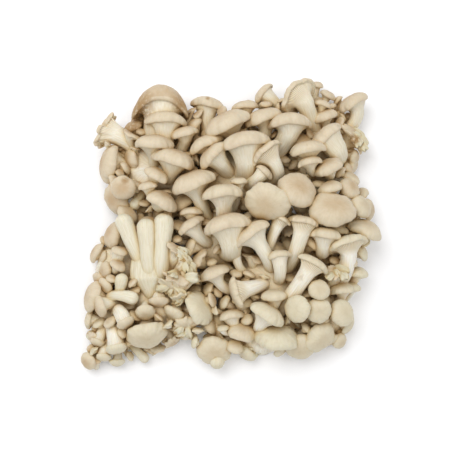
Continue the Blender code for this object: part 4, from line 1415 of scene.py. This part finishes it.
class MUSHROOMS_OT_grow_clumps(bpy.types.Operator):
    """Grow the clumps of mushrooms, each in place of its plain solid"""

    bl_idname = "mushrooms.grow_clumps"
    bl_label = "Grow Clumps"

    def execute(self, context):
        form, colours = context.scene.mushroom_form, context.scene.mushroom_flesh
        draw = random.Random(form.seed)
        sprouts = bpy.data.collections.new("sprouts")
        ground = Clump(0, 0, 1, [])
        kinds = [mushroom_skin(kind, ground, i, form.gill_spacing, new_tint(draw), fewer=3)
                 for i, kind in enumerate(BUTTON_KINDS)]
        kinds += [shred_skin(i, new_tint(draw)) for i in range(SHRED_KINDS)]
        for i, skin in enumerate(kinds):
            made = mesh_of(f"sprout_{i}", [skin])
            context.scene.collection.objects.unlink(made)
            sprouts.objects.link(made)
        groups = {"mottle": mottle_group(), "bruises_and_shade": bruise_and_shade_group(), "height": grain_group()}
        inputs = {
            "Sprouts": sprouts, "Gill Depth": form.gill_depth, "Fibre Depth": form.fibre_depth,
            "Lump Depth": form.lump_depth, "Lump Size": form.lump_size,
            "Cap Skin": flesh("cap_skin", cap_colour, CAP_FINISH, colours, groups),
            "Stem Flesh": flesh("stem_flesh", stem_colour, STEM_FINISH, colours, groups),
        }
        tree = clump_tree()
        solids = tree_of_solids()
        filling = filling_mushrooms(solids, draw)
        buttons = button_places(filling, solids, draw)
        pieces = []
        for number, (name, clump) in enumerate(CLUMPS.items()):
            skins = [base_skin(clump, new_tint(draw))]
            for i, mushroom in enumerate(clump.mushrooms + low_mushrooms(clump, random.Random(number))):
                tint = new_tint(draw, mushroom)
                skins.append(mushroom_skin(mushroom, clump, i + clump.base_x, form.gill_spacing, tint))
            # The skin and tint of a filling mushroom come from its own place, whichever others there are.
            for mushroom in filling[name]:
                place = mushroom.x + mushroom.y
                tint = new_tint(random.Random(round(1000 * place)), mushroom)
                skins.append(mushroom_skin(mushroom, clump, place, form.gill_spacing, tint, fewer=2))
            piece = mesh_of(name + "_flesh", skins)
            places = buttons[name]
            for mushroom in clump.mushrooms:
                wide = mushroom.cap >= SHRED_LEAST_CAP
                if mushroom.shape == "torn" and wide and mushroom.tilt < SHRED_MOST_TILT:
                    places += shred_places(mushroom, draw)
            points = sprout_points(name + "_sprouts", places)
            piece.data = applied(piece, tree, {**inputs, "Sprout Points": points, "Seed": number})
            pieces.append((piece, name))
        self.shade_hollows(context, [piece for piece, _ in pieces])
        for piece, name in pieces:
            set_marks(piece)
            piece.data.shade_smooth()
            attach(piece, "root")
            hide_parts(name)
        return {"FINISHED"}

    @staticmethod
    def shade_hollows(context, pieces):
        """Finds the hollows of all pieces together and gives each piece its own share of the result."""
        counts = [len(piece.data.vertices) for piece in pieces]
        places, faces, start = [], [], 0
        for piece, count in zip(pieces, counts):
            here = np.empty(count * 3, np.float32)
            piece.data.vertices.foreach_get("co", here)
            places.append(here.reshape(-1, 3))
            piece.data.calc_loop_triangles()
            corners = np.empty(len(piece.data.loop_triangles) * 3, np.int32)
            piece.data.loop_triangles.foreach_get("vertices", corners)
            faces.append(corners.reshape(-1, 3) + start)
            start += count
        mesh = bpy.data.meshes.new("whole")
        mesh.from_pydata(np.concatenate(places).tolist(), [], np.concatenate(faces).tolist())
        mesh.shade_smooth()
        whole = bpy.data.objects.new("whole", mesh)
        context.scene.collection.objects.link(whole)
        shaded = applied(whole, hollow_tree(), {"Reach": HOLLOW_REACH, "Clearance": HOLLOW_CLEARANCE})
        values = np.empty(start, np.float32)
        shaded.attributes["hollow"].data.foreach_get("value", values)
        bpy.data.objects.remove(whole)
        for piece, part in zip(pieces, np.split(values, np.cumsum(counts)[:-1])):
            piece.data.attributes.new("hollow", "FLOAT", "POINT").data.foreach_set("value", part)


class MUSHROOMS_OT_set_stage(bpy.types.Operator):
    """Set the pale floor, the soft light and the camera"""

    bl_idname = "mushrooms.set_stage"
    bl_label = "Set Stage"

    def execute(self, context):
        scene, stage = context.scene, context.scene.mushroom_stage
        self.add_floor(scene, stage)
        self.add_lights(scene, stage)
        self.add_camera(scene, stage)
        scene.view_settings.view_transform = "Standard"
        return {"FINISHED"}

    @staticmethod
    def add_floor(scene, stage):
        """A wide floor just below the bunch."""
        mesh = bpy.data.meshes.new("floor")
        corners = [(FLOOR_HALF * x, FLOOR_HALF * y, 0) for x, y in ((-1, -1), (1, -1), (1, 1), (-1, 1))]
        mesh.from_pydata(corners, [], [(0, 1, 2, 3)])
        material = bpy.data.materials.new("floor")
        material.use_nodes = True
        tree = material.node_tree
        plug(tree, tree.nodes["Principled BSDF"], {
            "Base Color": tuple(stage.floor_colour), "Roughness": FLOOR_ROUGHNESS,
            "Specular IOR Level": FLOOR_GLOSS,
        })
        mesh.materials.append(material)
        floor = bpy.data.objects.new("floor", mesh)
        scene.collection.objects.link(floor)
        floor.location.z = -FLOOR_DROP

    @staticmethod
    def add_lights(scene, stage):
        """Soft round lights that face the bunch, and an even white sky."""
        for name, (place, size, share) in LIGHTS.items():
            lamp = bpy.data.lights.new(name, "AREA")
            lamp.shape = "DISK"
            lamp.size = size
            lamp.energy = share * stage.key_power
            made = bpy.data.objects.new(name, lamp)
            made.location = place
            made.rotation_euler = Vector(place).to_track_quat("Z", "Y").to_euler()
            scene.collection.objects.link(made)
        world = bpy.data.worlds.new("sky")
        world.use_nodes = True
        tree = world.node_tree
        plug(tree, tree.nodes["Background"], {"Color": (1, 1, 1, 1), "Strength": stage.sky_strength})
        scene.world = world

    @staticmethod
    def add_camera(scene, stage):
        """A camera that looks down on the bunch from the south."""
        target = Vector(VIEW_CENTRE)
        look = Vector((0, math.cos(stage.elevation), -math.sin(stage.elevation)))
        camera = bpy.data.cameras.new("camera")
        camera.sensor_width = SENSOR_WIDTH
        camera.lens = camera.sensor_width * stage.distance / VIEW_WIDTH
        made = bpy.data.objects.new("camera", camera)
        made.location = target - look * stage.distance
        made.rotation_euler = look.to_track_quat("-Z", "Y").to_euler()
        scene.collection.objects.link(made)
        scene.camera = made


class VIEW3D_PT_mushrooms(bpy.types.Panel):
    """The bunch's sizes, colours and steps"""

    bl_label = "Mushroom Cluster"
    bl_idname = "VIEW3D_PT_mushrooms"
    bl_space_type = "VIEW_3D"
    bl_region_type = "UI"
    bl_category = "Mushrooms"

    def draw(self, context):
        scene = context.scene
        for group in (scene.mushroom_form, scene.mushroom_flesh, scene.mushroom_stage):
            box = self.layout.box()
            for name in group.__annotations__:
                box.prop(group, name)
        self.layout.operator(MUSHROOMS_OT_grow_clumps.bl_idname)
        self.layout.operator(MUSHROOMS_OT_set_stage.bl_idname)


CLASSES = (
    FormSettings, FleshSettings, StageSettings,
    MUSHROOMS_OT_grow_clumps, MUSHROOMS_OT_set_stage, VIEW3D_PT_mushrooms,
)


def register():
    for each in CLASSES:
        bpy.utils.register_class(each)
    bpy.types.Scene.mushroom_form = bpy.props.PointerProperty(type=FormSettings)
    bpy.types.Scene.mushroom_flesh = bpy.props.PointerProperty(type=FleshSettings)
    bpy.types.Scene.mushroom_stage = bpy.props.PointerProperty(type=StageSettings)


def unregister():
    del bpy.types.Scene.mushroom_form
    del bpy.types.Scene.mushroom_flesh
    del bpy.types.Scene.mushroom_stage
    for each in reversed(CLASSES):
        bpy.utils.unregister_class(each)


def main():
    """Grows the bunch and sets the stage."""
    register()
    bpy.ops.mushrooms.grow_clumps()
    bpy.ops.mushrooms.set_stage()


if __name__ == "__main__":
    main()
